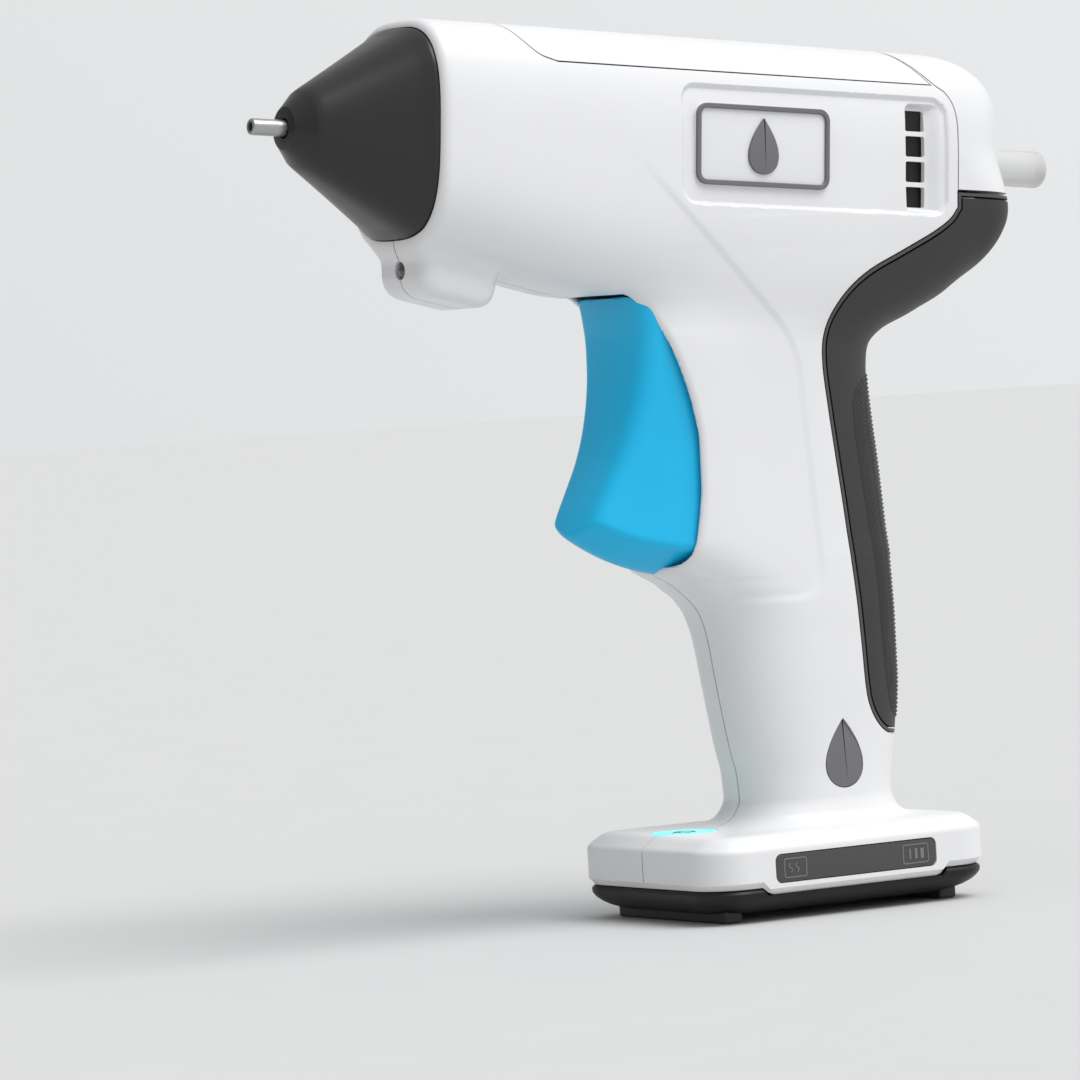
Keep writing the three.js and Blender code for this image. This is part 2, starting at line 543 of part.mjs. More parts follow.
const jawOutline = [[17, 5.25], [18.2, 5.15], [19.6, 5.85], [23, 6.55], [24, 7.45], [27.4, 7.45],
  [27.4, 5.25], [25.4, 4.2], [23.6, 4.45], [22.6, 5.55], [19.4, 5.15], [18.2, 4.65], [16.8, 4.75]];
const jawBore = rodAlongY(JAW_PIN.radius + GAP, -8, 8, JAW_PIN.x, JAW_PIN.z, 12);
const gripperJaw = slab(jawOutline, -1.8, 1.8).subtract(jawBore);
const jawPin = rodAlongY(JAW_PIN.radius, -5.8, 5.8, JAW_PIN.x, JAW_PIN.z, 12);

// ---------------------------------------------------------------- trigger
const TRIGGER_TOP = 114;
// Front of the trigger: [z, x].
const TRIGGER_FRONT = [[62, -30], [70, -27.6], [78.6, -24.2], [82.1, -22.1], [88.3, -18.8],
  [95.1, -16.3], [104.6, -14.5], [110.4, -14.1], [114.4, -14.4], [122, -15]];

function triggerBody() {
  const rings = TRIGGER_FRONT.map(([z, front]) => {
    const widest = z > TRIGGER_TOP ? 8.3 : TRIGGER_HALF_WIDTH;
    const half = [[front, 2.4], [front + 0.5, 5.2], [front + 1.7, 7], [front + 3.6, 8],
      [(front - 6) / 2, Math.min(9.7, widest)], [-4.6, widest], [-0.5, widest]];
    const near = half.map(([x, y]) => new THREE.Vector3(x, -y, z));
    const far = half.map(([x, y]) => new THREE.Vector3(x, y, z)).reverse();
    return [...near, ...far];
  });
  const sweep = Array.from({ length: 9 }, (_, i) => {
    const x = -24.8 + (i / 8) * 24.3;
    return [x, triggerArc(TRIGGER_REACH, x)];
  });
  const outline = [...sweep, [-0.5, 118.6], [-8, 119.6], [-16, 118.4], [-34, 100], [-34, 84],
    [-25.4, 77.4]];
  const finger = loft(rings).intersect(slab(outline, -HALF_SPAN, HALF_SPAN));
  const hollow = slab([[-9, 70], [-8.4, 96], [-7, 106], [4, 106], [4, 70]], -8.8, 8.8);
  const clearance = rodAlongY(4.6, -HALF_SPAN, HALF_SPAN, PIVOT.x, PIVOT.z, 28);
  return cut(finger, [hollow, clearance]);
}

function triggerArm() {
  const up = new THREE.Vector2(Math.sin(ARM_LEAN), Math.cos(ARM_LEAN));
  const along = (reach, offset) =>
    [PIVOT.x + up.x * reach + up.y * offset, PIVOT.z + up.y * reach - up.x * offset];
  const outline = [along(2, -3.6), along(20, -3.3), along(26.6, -3.3), along(26.6, -1.95),
    along(21.8, -1.95), along(21.8, 1.95), along(26.6, 1.95), along(26.6, 3.3), along(20, 3.3),
    along(2, 3.6)];
  return slab(outline, -2.4, 2.4);
}

function trigger() {
  const hub = rodAlongY(3.8, -3.9, 3.9, PIVOT.x, PIVOT.z, 24);
  const web = slab([[-6, 108.6], [1.8, 109.2], [1.8, 116.6], [-6, 117.4]], -3.9, 3.9);
  const bore = rodAlongY(PIN_RADIUS + GAP, -HALF_SPAN, HALF_SPAN, PIVOT.x, PIVOT.z);
  return cut(union([triggerBody(), hub, web, triggerArm()]), [bore]);
}

const triggerPin = rodAlongY(PIN_RADIUS, -11, 11, PIVOT.x, PIVOT.z);

function triggerSpring() {
  const coil = Array.from({ length: 29 }, (_, i) => {
    const angle = (i / 8) * 2 * Math.PI + Math.PI;
    return [PIVOT.x + 2.6 * Math.cos(angle), 4.6 + i * 0.085, PIVOT.z + 2.6 * Math.sin(angle)];
  });
  const legs = { first: [0.3, 4.6, PIVOT.z - 6], last: [PIVOT.x + 7, 7, PIVOT.z - 2] };
  return wire([legs.first, ...coil, legs.last], 0.3, 54, 4);
}

// ---------------------------------------------------------------- power, lights and control
const batteryCell = turnedUpright([[0.01, BATTERY.low], [BATTERY.radius - 0.5, BATTERY.low],
  [BATTERY.radius, BATTERY.low + 0.5], [BATTERY.radius, BATTERY.low + BATTERY.length - 1],
  [BATTERY.radius - 0.8, BATTERY.low + BATTERY.length], [3, BATTERY.low + BATTERY.length],
  [3, BATTERY.low + BATTERY.length + 1.2], [0.01, BATTERY.low + BATTERY.length + 1.2]],
BATTERY.x, 0, 28);
const batteryTop = BATTERY.low + BATTERY.length + 1.2;
const topContact = box(BATTERY.x - 5, BATTERY.x + 5, -3, 3, batteryTop + GAP, batteryTop + 0.8);
const bottomContact = box(BATTERY.x - 6, BATTERY.x + 6, -5, 5, BATTERY.low - 0.9,
  BATTERY.low - GAP);

const boardTop = BOARD.low + BOARD.thickness;
const mainBoard = box(BOARD.front, BOARD.back, -BOARD.halfWidth, BOARD.halfWidth, BOARD.low,
  boardTop);
const switchTop = boardTop + 3.4;
const buttonSwitch = box(BUTTON.x - 3, BUTTON.x + 3, -3, 3, boardTop + 0.1, switchTop - 0.8)
  .add(rodAlongZ(1.6, boardTop + 1, switchTop, BUTTON.x, 0, 16));
const powerButton = turnedUpright([[0.01, switchTop + BUTTON.travel + 0.1],
  [1.6, switchTop + BUTTON.travel + 0.1], [1.6, 13.2], [BUTTON.radius, 13.2],
  [BUTTON.radius, FOOT.top - 0.3], [BUTTON.radius - 0.3, FOOT.top], [0.01, FOOT.top]],
BUTTON.x, 0);
const buttonRing = turnedUpright([[RING.inner, 13.6], [RING.outer, 13.6], [RING.outer, FOOT.top],
  [RING.inner, FOOT.top]], BUTTON.x, 0);

const statusWindow = slab(
  roundedOutline(WINDOW.front, WINDOW.back, WINDOW.low, WINDOW.high, 1.2),
  -FOOT.halfWidth, -FOOT.halfWidth + WINDOW.thickness);
const statusBoard = box(3, 34, -21.2, -20.2, WINDOW.low + 0.2, WINDOW.high + 0.4);
const lamp = (x) => box(x - 1.5, x + 1.5, -22.6, -21.3, 8.6, 11.2);

const socketFrame = (halfWidth, halfHeight, x0, x1) => {
  const ring = (x) => uprightRing(x, halfHeight, -halfHeight, halfWidth, 4)
    .map((p) => p.setZ(p.z + 10.6));
  return loft([ring(x0), ring(x1)]);
};
const chargeSocket = socketFrame(4.5, 1.65, 44.6, 51.4)
  .subtract(socketFrame(4.15, 1.3, 46, 60));

function workLight() {
  const body = rodAlongX(1.5, -57.6, -51.2, 125.4);
  const flange = rodAlongX(1.85, -52, -51, 125.4);
  return body.add(flange);
}

const badge = (side) => {
  const inner = BARREL_HALF_WIDTH - PANEL.depth - 0.4;
  return slab(roundedOutline(BADGE.front, BADGE.back, BADGE.low, BADGE.high, 2.1),
    ...onSide(side, inner, inner + BADGE.thickness));
};
const inlay = (side) => slab(dropOutline(INLAY.radius),
  ...onSide(side, INLAY.side - INLAY.thickness + 0.2, INLAY.side + 0.15));
const ventBaffle = (side) => box(VENT.front - 2, VENT.back + 2, ...onSide(side, 12.7, 13.5),
  VENT.low - 1, VENT.high + 0.6);

// ---------------------------------------------------------------- screws and wires
function housingScrew([x, z]) {
  const shank = rodAlongY(SCREW.radius, SCREW.tip, SCREW.seat + 0.5, x, z, 10);
  const head = rodAlongY(SCREW.head, SCREW.seat, SCREW.seat + SCREW.headHeight, x, z);
  const slots = [[1.7, 0.35], [0.35, 1.7]].map(([dx, dz]) =>
    box(x - dx, x + dx, SCREW.seat + 0.9, 12, z - dz, z + dz));
  return cut(shank.add(head), slots);
}

function trayScrew([x, y]) {
  const shank = rodAlongZ(SCREW.radius, 4, 12.8, x, y, 10);
  const head = rodAlongZ(SCREW.head, 2.1, 4, x, y);
  const slots = [[1.7, 0.35], [0.35, 1.7]].map(([dx, dy]) =>
    box(x - dx, x + dx, y - dy, y + dy, 0, 3.1));
  return cut(shank.add(head), slots);
}

const heaterLead = (side) => wire([[20.2, side * 7.2, 7], [20.2, side * 7.2, 30],
  [20, side * 7.2, 60], [15, side * 6.4, 84], [11.6, side * 6.6, 112], [9, side * 7.6, 125],
  [-4, side * 9, 131], [-26, side * 8.6, 135], [-40, side * 7.4, 142]], 0.7, 24);
const batteryLead = wire([[24.6, -5.4, batteryTop + 1], [21.4, -8.4, 61], [22, -9, 52],
  [22.2, -9, 34], [22.8, -9.2, 16], [23.2, -9.2, 7]], 0.6, 14);
const lightLead = wire([[-50, 0, 125.4], [-47, 3.6, 131.5], [-36, 9.4, 131], [-12, 11, 129.6],
  [4, 11, 127.4], [12, 10, 118], [16, 9.6, 84], [20.6, 9.2, 60], [21.6, 9.2, 34], [21.4, 9, 7]],
0.5, 26);

// ---------------------------------------------------------------- the assembly
const gun = new THREE.Group();
const barrel = new THREE.Group();
barrel.position.z = AXIS_HEIGHT;
barrel.rotation.y = TILT;
gun.add(barrel);

function add(group, name, material, body) {
  const mesh = new THREE.Mesh(surface(body), material);
  mesh.name = name;
  group.add(mesh);
}

add(gun, 'shell_left', white, shell(-1));
add(gun, 'shell_right', white, shell(1));
add(gun, 'top_cover', white, topCover);
add(gun, 'rear_cap', white, rearCap);
add(gun, 'rear_grip', rubber, rearGrip);
add(gun, 'base_tray', charcoal, tray());
add(gun, 'front_pad', rubber, pad(PAD.xs[0]));
add(gun, 'rear_pad', rubber, pad(PAD.xs[1]));
for (const [label, side] of [['left', -1], ['right', 1]]) {
  add(barrel, `badge_${label}`, grey, badge(side));
  add(barrel, `vent_baffle_${label}`, charcoal, ventBaffle(side));
  add(gun, `handle_inlay_${label}`, grey, inlay(side));
}

add(barrel, 'nose_cone', blackCone, noseCone());
add(barrel, 'nozzle', steel, nozzle);
add(barrel, 'melt_chamber', aluminium, meltChamber);
add(barrel, 'heater_plate', brass, heaterPlate);
add(barrel, 'heater_clip', steel, heaterClip);
add(barrel, 'thermal_fuse', steel, thermalFuse);
add(barrel, 'inlet_sleeve', silicone, inletSleeve);
add(barrel, 'sleeve_ring', steel, sleeveRing);
add(barrel, 'glue_stick', glue, glueStick);
add(barrel, 'carriage', charcoal, carriage());
add(barrel, 'gripper_jaw', steel, gripperJaw);
add(barrel, 'jaw_pin', steel, jawPin);

add(gun, 'trigger', blue, trigger());
add(gun, 'trigger_pin', steel, triggerPin);
add(gun, 'trigger_spring', steel, triggerSpring());

add(gun, 'battery_cell', cellBlue, batteryCell);
add(gun, 'battery_contact_top', brass, topContact);
add(gun, 'battery_contact_bottom', brass, bottomContact);
add(gun, 'main_board', boardGreen, mainBoard);
add(gun, 'button_switch', charcoal, buttonSwitch);
add(gun, 'power_button', teal, powerButton);
add(gun, 'button_ring', grey, buttonRing);
add(gun, 'status_window', smoke, statusWindow);
add(gun, 'status_board', boardGreen, statusBoard);
add(gun, 'status_lamp_heat', teal, lamp(5.4));
add(gun, 'status_lamp_charge', teal, lamp(31.6));
add(gun, 'charge_socket', steel, chargeSocket);
add(gun, 'work_light', glue, workLight());

SCREW_PLACES.forEach((place, i) => add(gun, `housing_screw_${i + 1}`, steel, housingScrew(place)));
TRAY_SCREW_PLACES.forEach((place, i) => add(gun, `tray_screw_${i + 1}`, steel, trayScrew(place)));
add(gun, 'heater_lead_left', wireRed, heaterLead(-1));
add(gun, 'heater_lead_right', wireBlack, heaterLead(1));
add(gun, 'battery_lead', wireRed, batteryLead);
add(gun, 'light_lead', wireBlack, lightLead);

export default gun;
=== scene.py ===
import math

import bmesh
import bpy
import numpy as np
from mathutils import Matrix, Vector


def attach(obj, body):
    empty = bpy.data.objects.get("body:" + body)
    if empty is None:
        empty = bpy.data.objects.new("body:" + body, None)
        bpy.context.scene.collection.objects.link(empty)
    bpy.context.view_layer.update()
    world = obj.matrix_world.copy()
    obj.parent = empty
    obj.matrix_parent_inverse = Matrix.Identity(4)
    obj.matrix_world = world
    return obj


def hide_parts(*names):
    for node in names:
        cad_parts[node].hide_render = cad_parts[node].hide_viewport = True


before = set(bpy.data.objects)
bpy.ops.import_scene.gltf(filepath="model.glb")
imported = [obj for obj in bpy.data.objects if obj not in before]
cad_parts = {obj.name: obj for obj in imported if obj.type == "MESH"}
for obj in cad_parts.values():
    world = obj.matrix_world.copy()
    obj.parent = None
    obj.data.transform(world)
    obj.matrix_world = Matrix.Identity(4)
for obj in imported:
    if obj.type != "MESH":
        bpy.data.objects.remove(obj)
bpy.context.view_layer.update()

# A cordless mini glue gun. Lengths in this script are millimetres, and meshes are made in metres.
# +Z is up, the nozzle points to -X and the gun's left side faces -Y. Along the barrel, u runs
# backwards on its axis and w is square to it, upwards.
MM = 0.001
TILT = math.radians(4.45)                # barrel axis, nose up
AXIS_HEIGHT = 145.96                     # height of the barrel axis at X = 0
WALL = 2.1                               # moulded walls
TRIGGER_WALL = 1.3                       # thinner walls beside the trigger
GAP = 0.3                                # between pieces that meet
SEAM = GAP / 2                           # from the middle of a seam to a piece
SHELL_SEAM = 0.19                        # from the middle plane to each half of the housing
GRID = 0.5                               # grid step that the housing's surface is found on
TRIGGER_GRID = 0.45
FAR = 32                                 # wider than the gun, for cutters

PIVOT_X, PIVOT_Z = 2, 113                # trigger pin
TRIGGER_REACH = 48.2                     # pin to the trigger's curved lower edge
OPENING_REACH = 48.8                     # pin to the ledge below it
OPENING_TOP = 118.6
OPENING_ROUNDING = 1.6
TRIGGER_HALF = 12.1                      # half width at the back

# Upright sections of the barrel: u, then top, bottom and half width.
BARREL = np.array([
    (-62, 21.3, -21.1, 17.2), (-48, 21.3, -23.8, 17.5), (-36, 21.3, -26.3, 17.5),
    (-15, 21.2, -30, 17.4), (10, 21.1, -32, 17.3), (36, 20.9, -32.4, 17.3),
    (49, 20.8, -30.4, 17.3), (57, 20.7, -27.4, 17.3), (66, 20.6, -22.2, 17.2),
    (76, 20.5, -16.4, 17),
])
BARREL_POWER = 3.1
BARREL_FRONT, BARREL_REAR = -58.6, 74.5

# Level sections of the handle: Z, then front, back, half width and power. They run on forwards
# over the trigger, where the trigger's opening takes them away.
HANDLE = np.array([
    (14.6, -1, 48.6, 19, 2.6), (15.6, 2.6, 46, 16.6, 2.6), (17, 5.8, 43.6, 14.8, 2.6),
    (18.8, 8.2, 42, 13.8, 2.6), (21.4, 9.5, 41.2, 13.3, 2.6), (26, 9.2, 41.8, 13.3, 2.6),
    (31, 8, 42.8, 13.4, 2.6), (45, 5.5, 44.3, 13.8, 2.6), (53, 4.2, 44.2, 13.9, 2.7),
    (57.5, 2.7, 44, 14, 2.8), (60.4, 0.4, 43.8, 14, 2.9), (62.2, -1.8, 43.7, 14, 3),
    (63.6, -3.6, 43.7, 14, 3), (64.6, -5.4, 43.6, 14, 3.1), (65.4, -6.9, 43.6, 14, 3.1),
    (66.4, -8.6, 43.6, 14, 3.2), (68, -12, 43.5, 14, 3.2), (72, -18, 43.2, 14, 3.2),
    (84, -20, 42.3, 14, 3.2), (96, -20, 41.1, 14.1, 3.2), (101, -20, 40.8, 14.2, 3.2),
    (106.5, -20, 41.5, 14.4, 3.1), (110, -20, 44, 14.5, 3), (113.5, -19, 49, 14.3, 3),
    (117.4, -17, 55, 13.8, 3), (126, -16, 63, 11.5, 3),
])

# Front edge of the handle beside the trigger: Z and X.
OPENING_EDGE = np.array([
    (62, -7.6), (66.8, -7), (69.6, -5.9), (75, -4.7), (82.4, -3.8), (90, -3.7), (97, -4.8),
    (103.2, -6.6), (109.4, -9), (113.8, -11.4), (116, -13), (118, -15.4), (121, -22),
])

# Front of the trigger on the middle plane: Z and X.
TRIGGER_FRONT = np.array([
    (62, -30.4), (66, -29.2), (70, -27.7), (74.6, -25.8), (78.6, -24), (82.1, -22.1),
    (88.3, -18.8), (95.1, -16.3), (100, -15.1), (104.6, -14.4), (110.4, -14.1), (114.4, -14.4),
    (119, -15),
])

FOOT_FRONT, FOOT_BACK, FOOT_HALF, FOOT_CORNER = -13.5, 51.9, 24.5, 8
FOOT_TOP, FOOT_EDGE, FOOT_SLOPE = 16.4, 13.9, 3.4
SHELL_BOTTOM = 7.7                       # lower edge of the white face of the foot
LIP = 1.1                                # height of the shaded lip under that face
APRON_FRONT, APRON_BACK, APRON_BOTTOM = -1.4, 38.8, 6.3

PANEL = (-6, 55, -11.2, 10.9)            # recess in the barrel's side: u and w ranges
PANEL_DEPTH, SCOOP_DEPTH = 0.8, 1.8
EDGE = 0.5                               # half the width of the recesses' soft edges
BADGE = (-3, 27.4, -7.7, 7.7)            # u and w ranges
VENT = (46.9, 51.2, -9.9, 8.7)           # u and w ranges
VENT_SLOTS, VENT_RIB = 4, 0.9            # openings in it, and the ribs between them
INLAY_X, INLAY_Z, INLAY_RADIUS = 25.2, 29.4, 4.2
SIDE_AT_INLAY = 13.1                     # half width of the handle there

WINDOW = (0.3, 37.2, 7.3, 12.5)          # X and Z ranges of the status window
SOCKET_HALF, SOCKET_LOW, SOCKET_HIGH = 4.9, 8.6, 12.6
EYE_Z, EYE_RADIUS = 125.4, 1.55          # work light under the nose
BUTTON_X, BUTTON_RADIUS, RING_RADIUS = -3.5, 4.9, 6.3
SCREW_PLACES = ((-44.5, 125.6), (-47, 162.4), (18, 122), (38, 127.4), (13.5, 50), (14.5, 27))
SCREW_SEAT, SCREW_HOLE, SCREW_WELL = 5.7, 3.0, 3.9


# ---------------------------------------------------------------- numbers and curves
def curve(table, column):
    """A smooth curve through one column of a table, against its first column, without overshoot."""
    knots, values = table[:, 0].astype(float), table[:, column].astype(float)
    step = np.diff(knots)
    rise = np.diff(values) / step
    before, after = rise[:-1], rise[1:]
    weight_a, weight_b = 2 * step[1:] + step[:-1], step[1:] + 2 * step[:-1]
    same_way = before * after > 0
    safe_before, safe_after = np.where(same_way, before, 1), np.where(same_way, after, 1)
    middle = (weight_a + weight_b) / (weight_a / safe_before + weight_b / safe_after)
    slope = np.concatenate([rise[:1], np.where(same_way, middle, 0), rise[-1:]])

    def value(at):
        at = np.clip(at, knots[0], knots[-1])
        i = np.clip(np.searchsorted(knots, at, side="right") - 1, 0, len(step) - 1)
        t = (at - knots[i]) / step[i]
        start = values[i] * (1 + 2 * t) + slope[i] * step[i] * t
        end = values[i + 1] * (3 - 2 * t) - slope[i + 1] * step[i] * (1 - t)
        return start * (1 - t) ** 2 + end * t ** 2
    return value


def smooth_step(low, high, value):
    t = np.clip((value - low) / (high - low), 0, 1)
    return t * t * (3 - 2 * t)


def blend_min(a, b, width):
    """The lesser of two fields, with a fillet where they are within width of each other."""
    share = np.clip(0.5 + 0.5 * (b - a) / width, 0, 1)
    return b + (a - b) * share - width * share * (1 - share)


def blend_max(a, b, width):
    return -blend_min(-a, -b, width)


def through(points, per_span=8):
    """Points on a smooth curve through the given ones."""
    p = np.asarray(points, float)
    padded = np.vstack([2 * p[0] - p[1], p, 2 * p[-1] - p[-2]])
    t = np.linspace(0, 1, per_span, endpoint=False)[:, None]
    runs = []
    for i in range(len(p) - 1):
        a, b, c, d = padded[i:i + 4]
        runs.append(0.5 * (2 * b + (c - a) * t + (2 * a - 5 * b + 4 * c - d) * t ** 2
                           + (3 * b - a - 3 * c + d) * t ** 3))
    runs.append(p[-1:])
    return [tuple(q) for q in np.vstack(runs)]


def spread(outline, distance):
    """The outline moved outwards by a distance."""
    p = np.asarray(outline, float)
    nxt, prv = np.roll(p, -1, 0), np.roll(p, 1, 0)
    side = np.sign(np.sum(p[:, 0] * nxt[:, 1] - nxt[:, 0] * p[:, 1]))
    into, out = p - prv, nxt - p
    into /= np.linalg.norm(into, axis=1)[:, None]
    out /= np.linalg.norm(out, axis=1)[:, None]
    normal = np.stack([into[:, 1] + out[:, 1], -into[:, 0] - out[:, 0]], 1)
    normal /= np.linalg.norm(normal, axis=1)[:, None]
    square = np.clip(normal[:, 0] * into[:, 1] - normal[:, 1] * into[:, 0], 0.5, 1)
    return [tuple(q) for q in p + side * normal * (distance / square)[:, None]]


def rounded_rectangle(low_a, high_a, low_b, high_b, radius, steps=8):
    """Outline with round corners, anticlockwise."""
    corners = ((high_a - radius, high_b - radius), (low_a + radius, high_b - radius),
               (low_a + radius, low_b + radius), (high_a - radius, low_b + radius))
    outline = []
    for quarter, (a, b) in enumerate(corners):
        for i in range(steps + 1):
            angle = math.pi / 2 * (quarter + i / steps)
            outline.append((a + radius * math.cos(angle), b + radius * math.sin(angle)))
    return outline


def drop_outline(radius, steps=60):
    """A glue drop with its point up, round (0, 0)."""
    outline = []
    for i in range(steps):
        angle = 2 * math.pi * i / steps
        half = 1.3 * radius * math.sin(angle) * math.sin(angle / 2)
        outline.append((half, 1.55 * radius * math.cos(angle)))
    return outline


def to_barrel(x, z):
    """u and w of a point of the side view."""
    height = z - AXIS_HEIGHT
    return (x * math.cos(TILT) - height * math.sin(TILT),
            x * math.sin(TILT) + height * math.cos(TILT))


def from_barrel(u, w):
    """X and Z of a point given along and across the barrel."""
    return (u * math.cos(TILT) + w * math.sin(TILT),
            AXIS_HEIGHT - u * math.sin(TILT) + w * math.cos(TILT))


def row_outline(outline):
    """X and Z of an outline given along and across the barrel."""
    return [from_barrel(u, w) for u, w in outline]


# ---------------------------------------------------------------- fields: negative inside
def ring_distance(across, along, half_across, half_along, power):
    """Distance, near enough, from a superellipse."""
    a, b = np.abs(across) / half_across, np.abs(along) / half_along
    size = np.maximum((a ** power + b ** power) ** (1 / power), 1e-4)
    rate = np.hypot(a ** (power - 1) / half_across, b ** (power - 1) / half_along)
    return (size - 1) / np.maximum(rate * size ** (1 - power), 1e-4)


def rectangle_distance(a, b, half_a, half_b, corner):
    qa, qb = np.abs(a) - half_a + corner, np.abs(b) - half_b + corner
    outside = np.hypot(np.maximum(qa, 0), np.maximum(qb, 0))
    return outside + np.minimum(np.maximum(qa, qb), 0) - corner


def sloped(side, at, step=0.4):
    """A field of sections, corrected for how fast the sections change along their length."""
    here = side(at)
    slope = (side(at + step) - here) / step
    return here / np.sqrt(1 + slope ** 2)


barrel_top, barrel_low, barrel_half = (curve(BARREL, i) for i in (1, 2, 3))
handle_front, handle_back, handle_half, handle_power = (curve(HANDLE, i) for i in (1, 2, 3, 4))
opening_edge = curve(OPENING_EDGE, 1)
trigger_front = curve(TRIGGER_FRONT, 1)


def barrel_field(x, y, z):
    u, w = to_barrel(x, z)

    def side(at):
        top, low = barrel_top(at), barrel_low(at)
        return ring_distance(y, w - (top + low) / 2, barrel_half(at), (top - low) / 2,
                             BARREL_POWER)
    rear_rounding = 9 + 10 * smooth_step(-12, 4, w)
    body = blend_max(sloped(side, u), u - BARREL_REAR, rear_rounding)
    return blend_max(body, BARREL_FRONT - u, 2.2)


def handle_field(x, y, z):
    def side(at):
        front, back = handle_front(at), handle_back(at)
        return ring_distance(y, x - (front + back) / 2, handle_half(at), (back - front) / 2,
                             handle_power(at))
    return np.maximum(np.maximum(sloped(side, z), 10 - z), z - 126)


def boss_field(x, y, z):
    """The work light's housing under the nose."""
    front = -59.2 - x + 0.03 * (z - 124)
    floor = (118.6 - z - 0.262 * (x + 50.5)) / math.hypot(1, 0.262)
    back = x + 42.2 - 0.2 * (z - 124)
    side_view = blend_max(blend_max(front, floor, 3.6), back, 4.6)
    return np.maximum(blend_max(side_view, np.abs(y) - 8.5, 3.2), z - 136)


def foot_plan(x, y):
    return rectangle_distance(x - (FOOT_FRONT + FOOT_BACK) / 2, y,
                              (FOOT_BACK - FOOT_FRONT) / 2, FOOT_HALF, FOOT_CORNER)


def foot_field(x, y, z):
    plan = foot_plan(x, y)
    rise = FOOT_TOP - FOOT_EDGE
    chamfer = (plan * rise + (z - FOOT_EDGE) * FOOT_SLOPE) / math.hypot(rise, FOOT_SLOPE)
    body = blend_max(blend_max(plan, chamfer, 0.6), z - FOOT_TOP, 1)
    return np.maximum(body, 4 - z)


def panel_distance(x, z):
    u, w = to_barrel(x, z)
    front, back, low, high = PANEL
    return rectangle_distance(u - (front + back) / 2, w - (low + high) / 2,
                              (back - front) / 2, (high - low) / 2, 3.2)


def scoop_distance(x, z):
    """From the edge of the scoop that the vents lie in, whose front edge is bowed."""
    u, w = to_barrel(x, z)
    bow = 0.004 * (w + 0.6) ** 2
    return rectangle_distance(u - 51.2 - bow, w + 0.6, 5.2, 10.1, 1)


def palm_distance(x, z):
    """From the back, lower and upper edges of the shallow recess for the palm."""
    back = x - 22.1 + 0.07 * (z - 68)
    return blend_max(blend_max(back, 59.6 - z, 7), 0.707 * (x + z - 127.4), 5)


def relief(x, y, z):
    """Depth of the shallow recesses in the sides."""
    u, _ = to_barrel(x, z)
    panel = PANEL_DEPTH * smooth_step(EDGE, -EDGE, panel_distance(x, z))
    scoop = SCOOP_DEPTH * smooth_step(EDGE, -EDGE, scoop_distance(x, z)) * smooth_step(
        54.4, 50.4, u)
    palm = (0.26 * smooth_step(0.9, -0.9, palm_distance(x, z))
            * smooth_step(3, 16, x - opening_edge(z)))
    return smooth_step(5, 9, np.abs(y)) * (panel + scoop + palm)


def solid_field(x, y, z):
    """The housing as one solid, before its seams, recesses and openings."""
    body = blend_min(barrel_field(x, y, z), handle_field(x, y, z), 7)
    body = blend_min(body, boss_field(x, y, z), 2.4)
    return blend_min(body, foot_field(x, y, z), 1.6)


def opening_field(x, z):
    """The trigger's opening in the front of the handle."""
    edge = sloped(lambda at: x - opening_edge(at), z)
    arc = np.hypot(x - PIVOT_X, z - PIVOT_Z) - OPENING_REACH
    return np.maximum(np.maximum(blend_max(edge, arc, 5), z - OPENING_TOP), -36 - x)


def with_recesses(solid, x, y, z):
    """The solid with its recesses and the trigger's opening taken away."""
    return blend_max(solid + relief(x, y, z), -opening_field(x, z), OPENING_ROUNDING)


def outer_field(x, y, z):
    return with_recesses(solid_field(x, y, z), x, y, z)


def housing_field(x, y, z):
    """The hollow housing, with the wells that its screws are sunk in."""
    solid = solid_field(x, y, z)
    skin = with_recesses(solid, x, y, z)
    beside_trigger = (smooth_step(17, 14, x) * smooth_step(60, 63, z)
                      * smooth_step(121, 118, z))
    behind_vents = smooth_step(42, 45, to_barrel(x, z)[0])
    wall = WALL + 1.4 * behind_vents + (TRIGGER_WALL - WALL) * beside_trigger
    walls = blend_max(skin, -(solid + wall), 0.9)
    wells = np.full_like(walls, 99.0)
    for at_x, at_z in SCREW_PLACES:
        wells = np.minimum(wells, np.hypot(x - at_x, z - at_z) - SCREW_WELL)
    wells = np.maximum(np.maximum(wells, 0.4 - y), skin + 0.6)
    return np.minimum(walls, wells)


def trigger_field(x, y, z):
    """The trigger widens backwards until it nearly fills its opening."""
    face = sloped(lambda at: trigger_front(at) + 0.008 * y ** 2 - x, z)
    ahead = opening_edge(z) - x
    half = blend_max(blend_min(12 - 0.21 * ahead, TRIGGER_HALF, 1.5), 8, 1.5)
    body = blend_max(face, np.abs(y) - half, 3.2)
    crown = 0.5 * (np.sqrt(y ** 2 + 6) - 2.4)
    under = (np.hypot(x - PIVOT_X, z - PIVOT_Z) - TRIGGER_REACH + crown) / 1.1
    body = blend_max(body, under, 1.2)
    body = blend_max(body, x + 0.6, 0.8)
    clear_of_pin = 5.2 - np.hypot(x - PIVOT_X, z - PIVOT_Z)
    return np.maximum(np.maximum(body, z - OPENING_TOP + GAP), clear_of_pin)


# ---------------------------------------------------------------- surfaces of fields
def gradient(field, p, step=0.03):
    """Slope of a field at each of an array of points."""
    slopes = []
    for axis in range(3):
        ahead, behind = p.copy(), p.copy()
        ahead[:, axis] += step
        behind[:, axis] -= step
        slopes.append((field(*ahead.T) - field(*behind.T)) / (2 * step))
    return np.stack(slopes, 1)


def settle(field, p, rounds, reach):
    """Moves points onto the surface of a field."""
    for _ in range(rounds):
        g = gradient(field, p)
        move = -(field(*p.T) / np.maximum((g ** 2).sum(1), 0.05))[:, None] * g
        length = np.linalg.norm(move, axis=1)
        p = p + move * np.minimum(1, reach / np.maximum(length, 1e-9))[:, None]
    return p


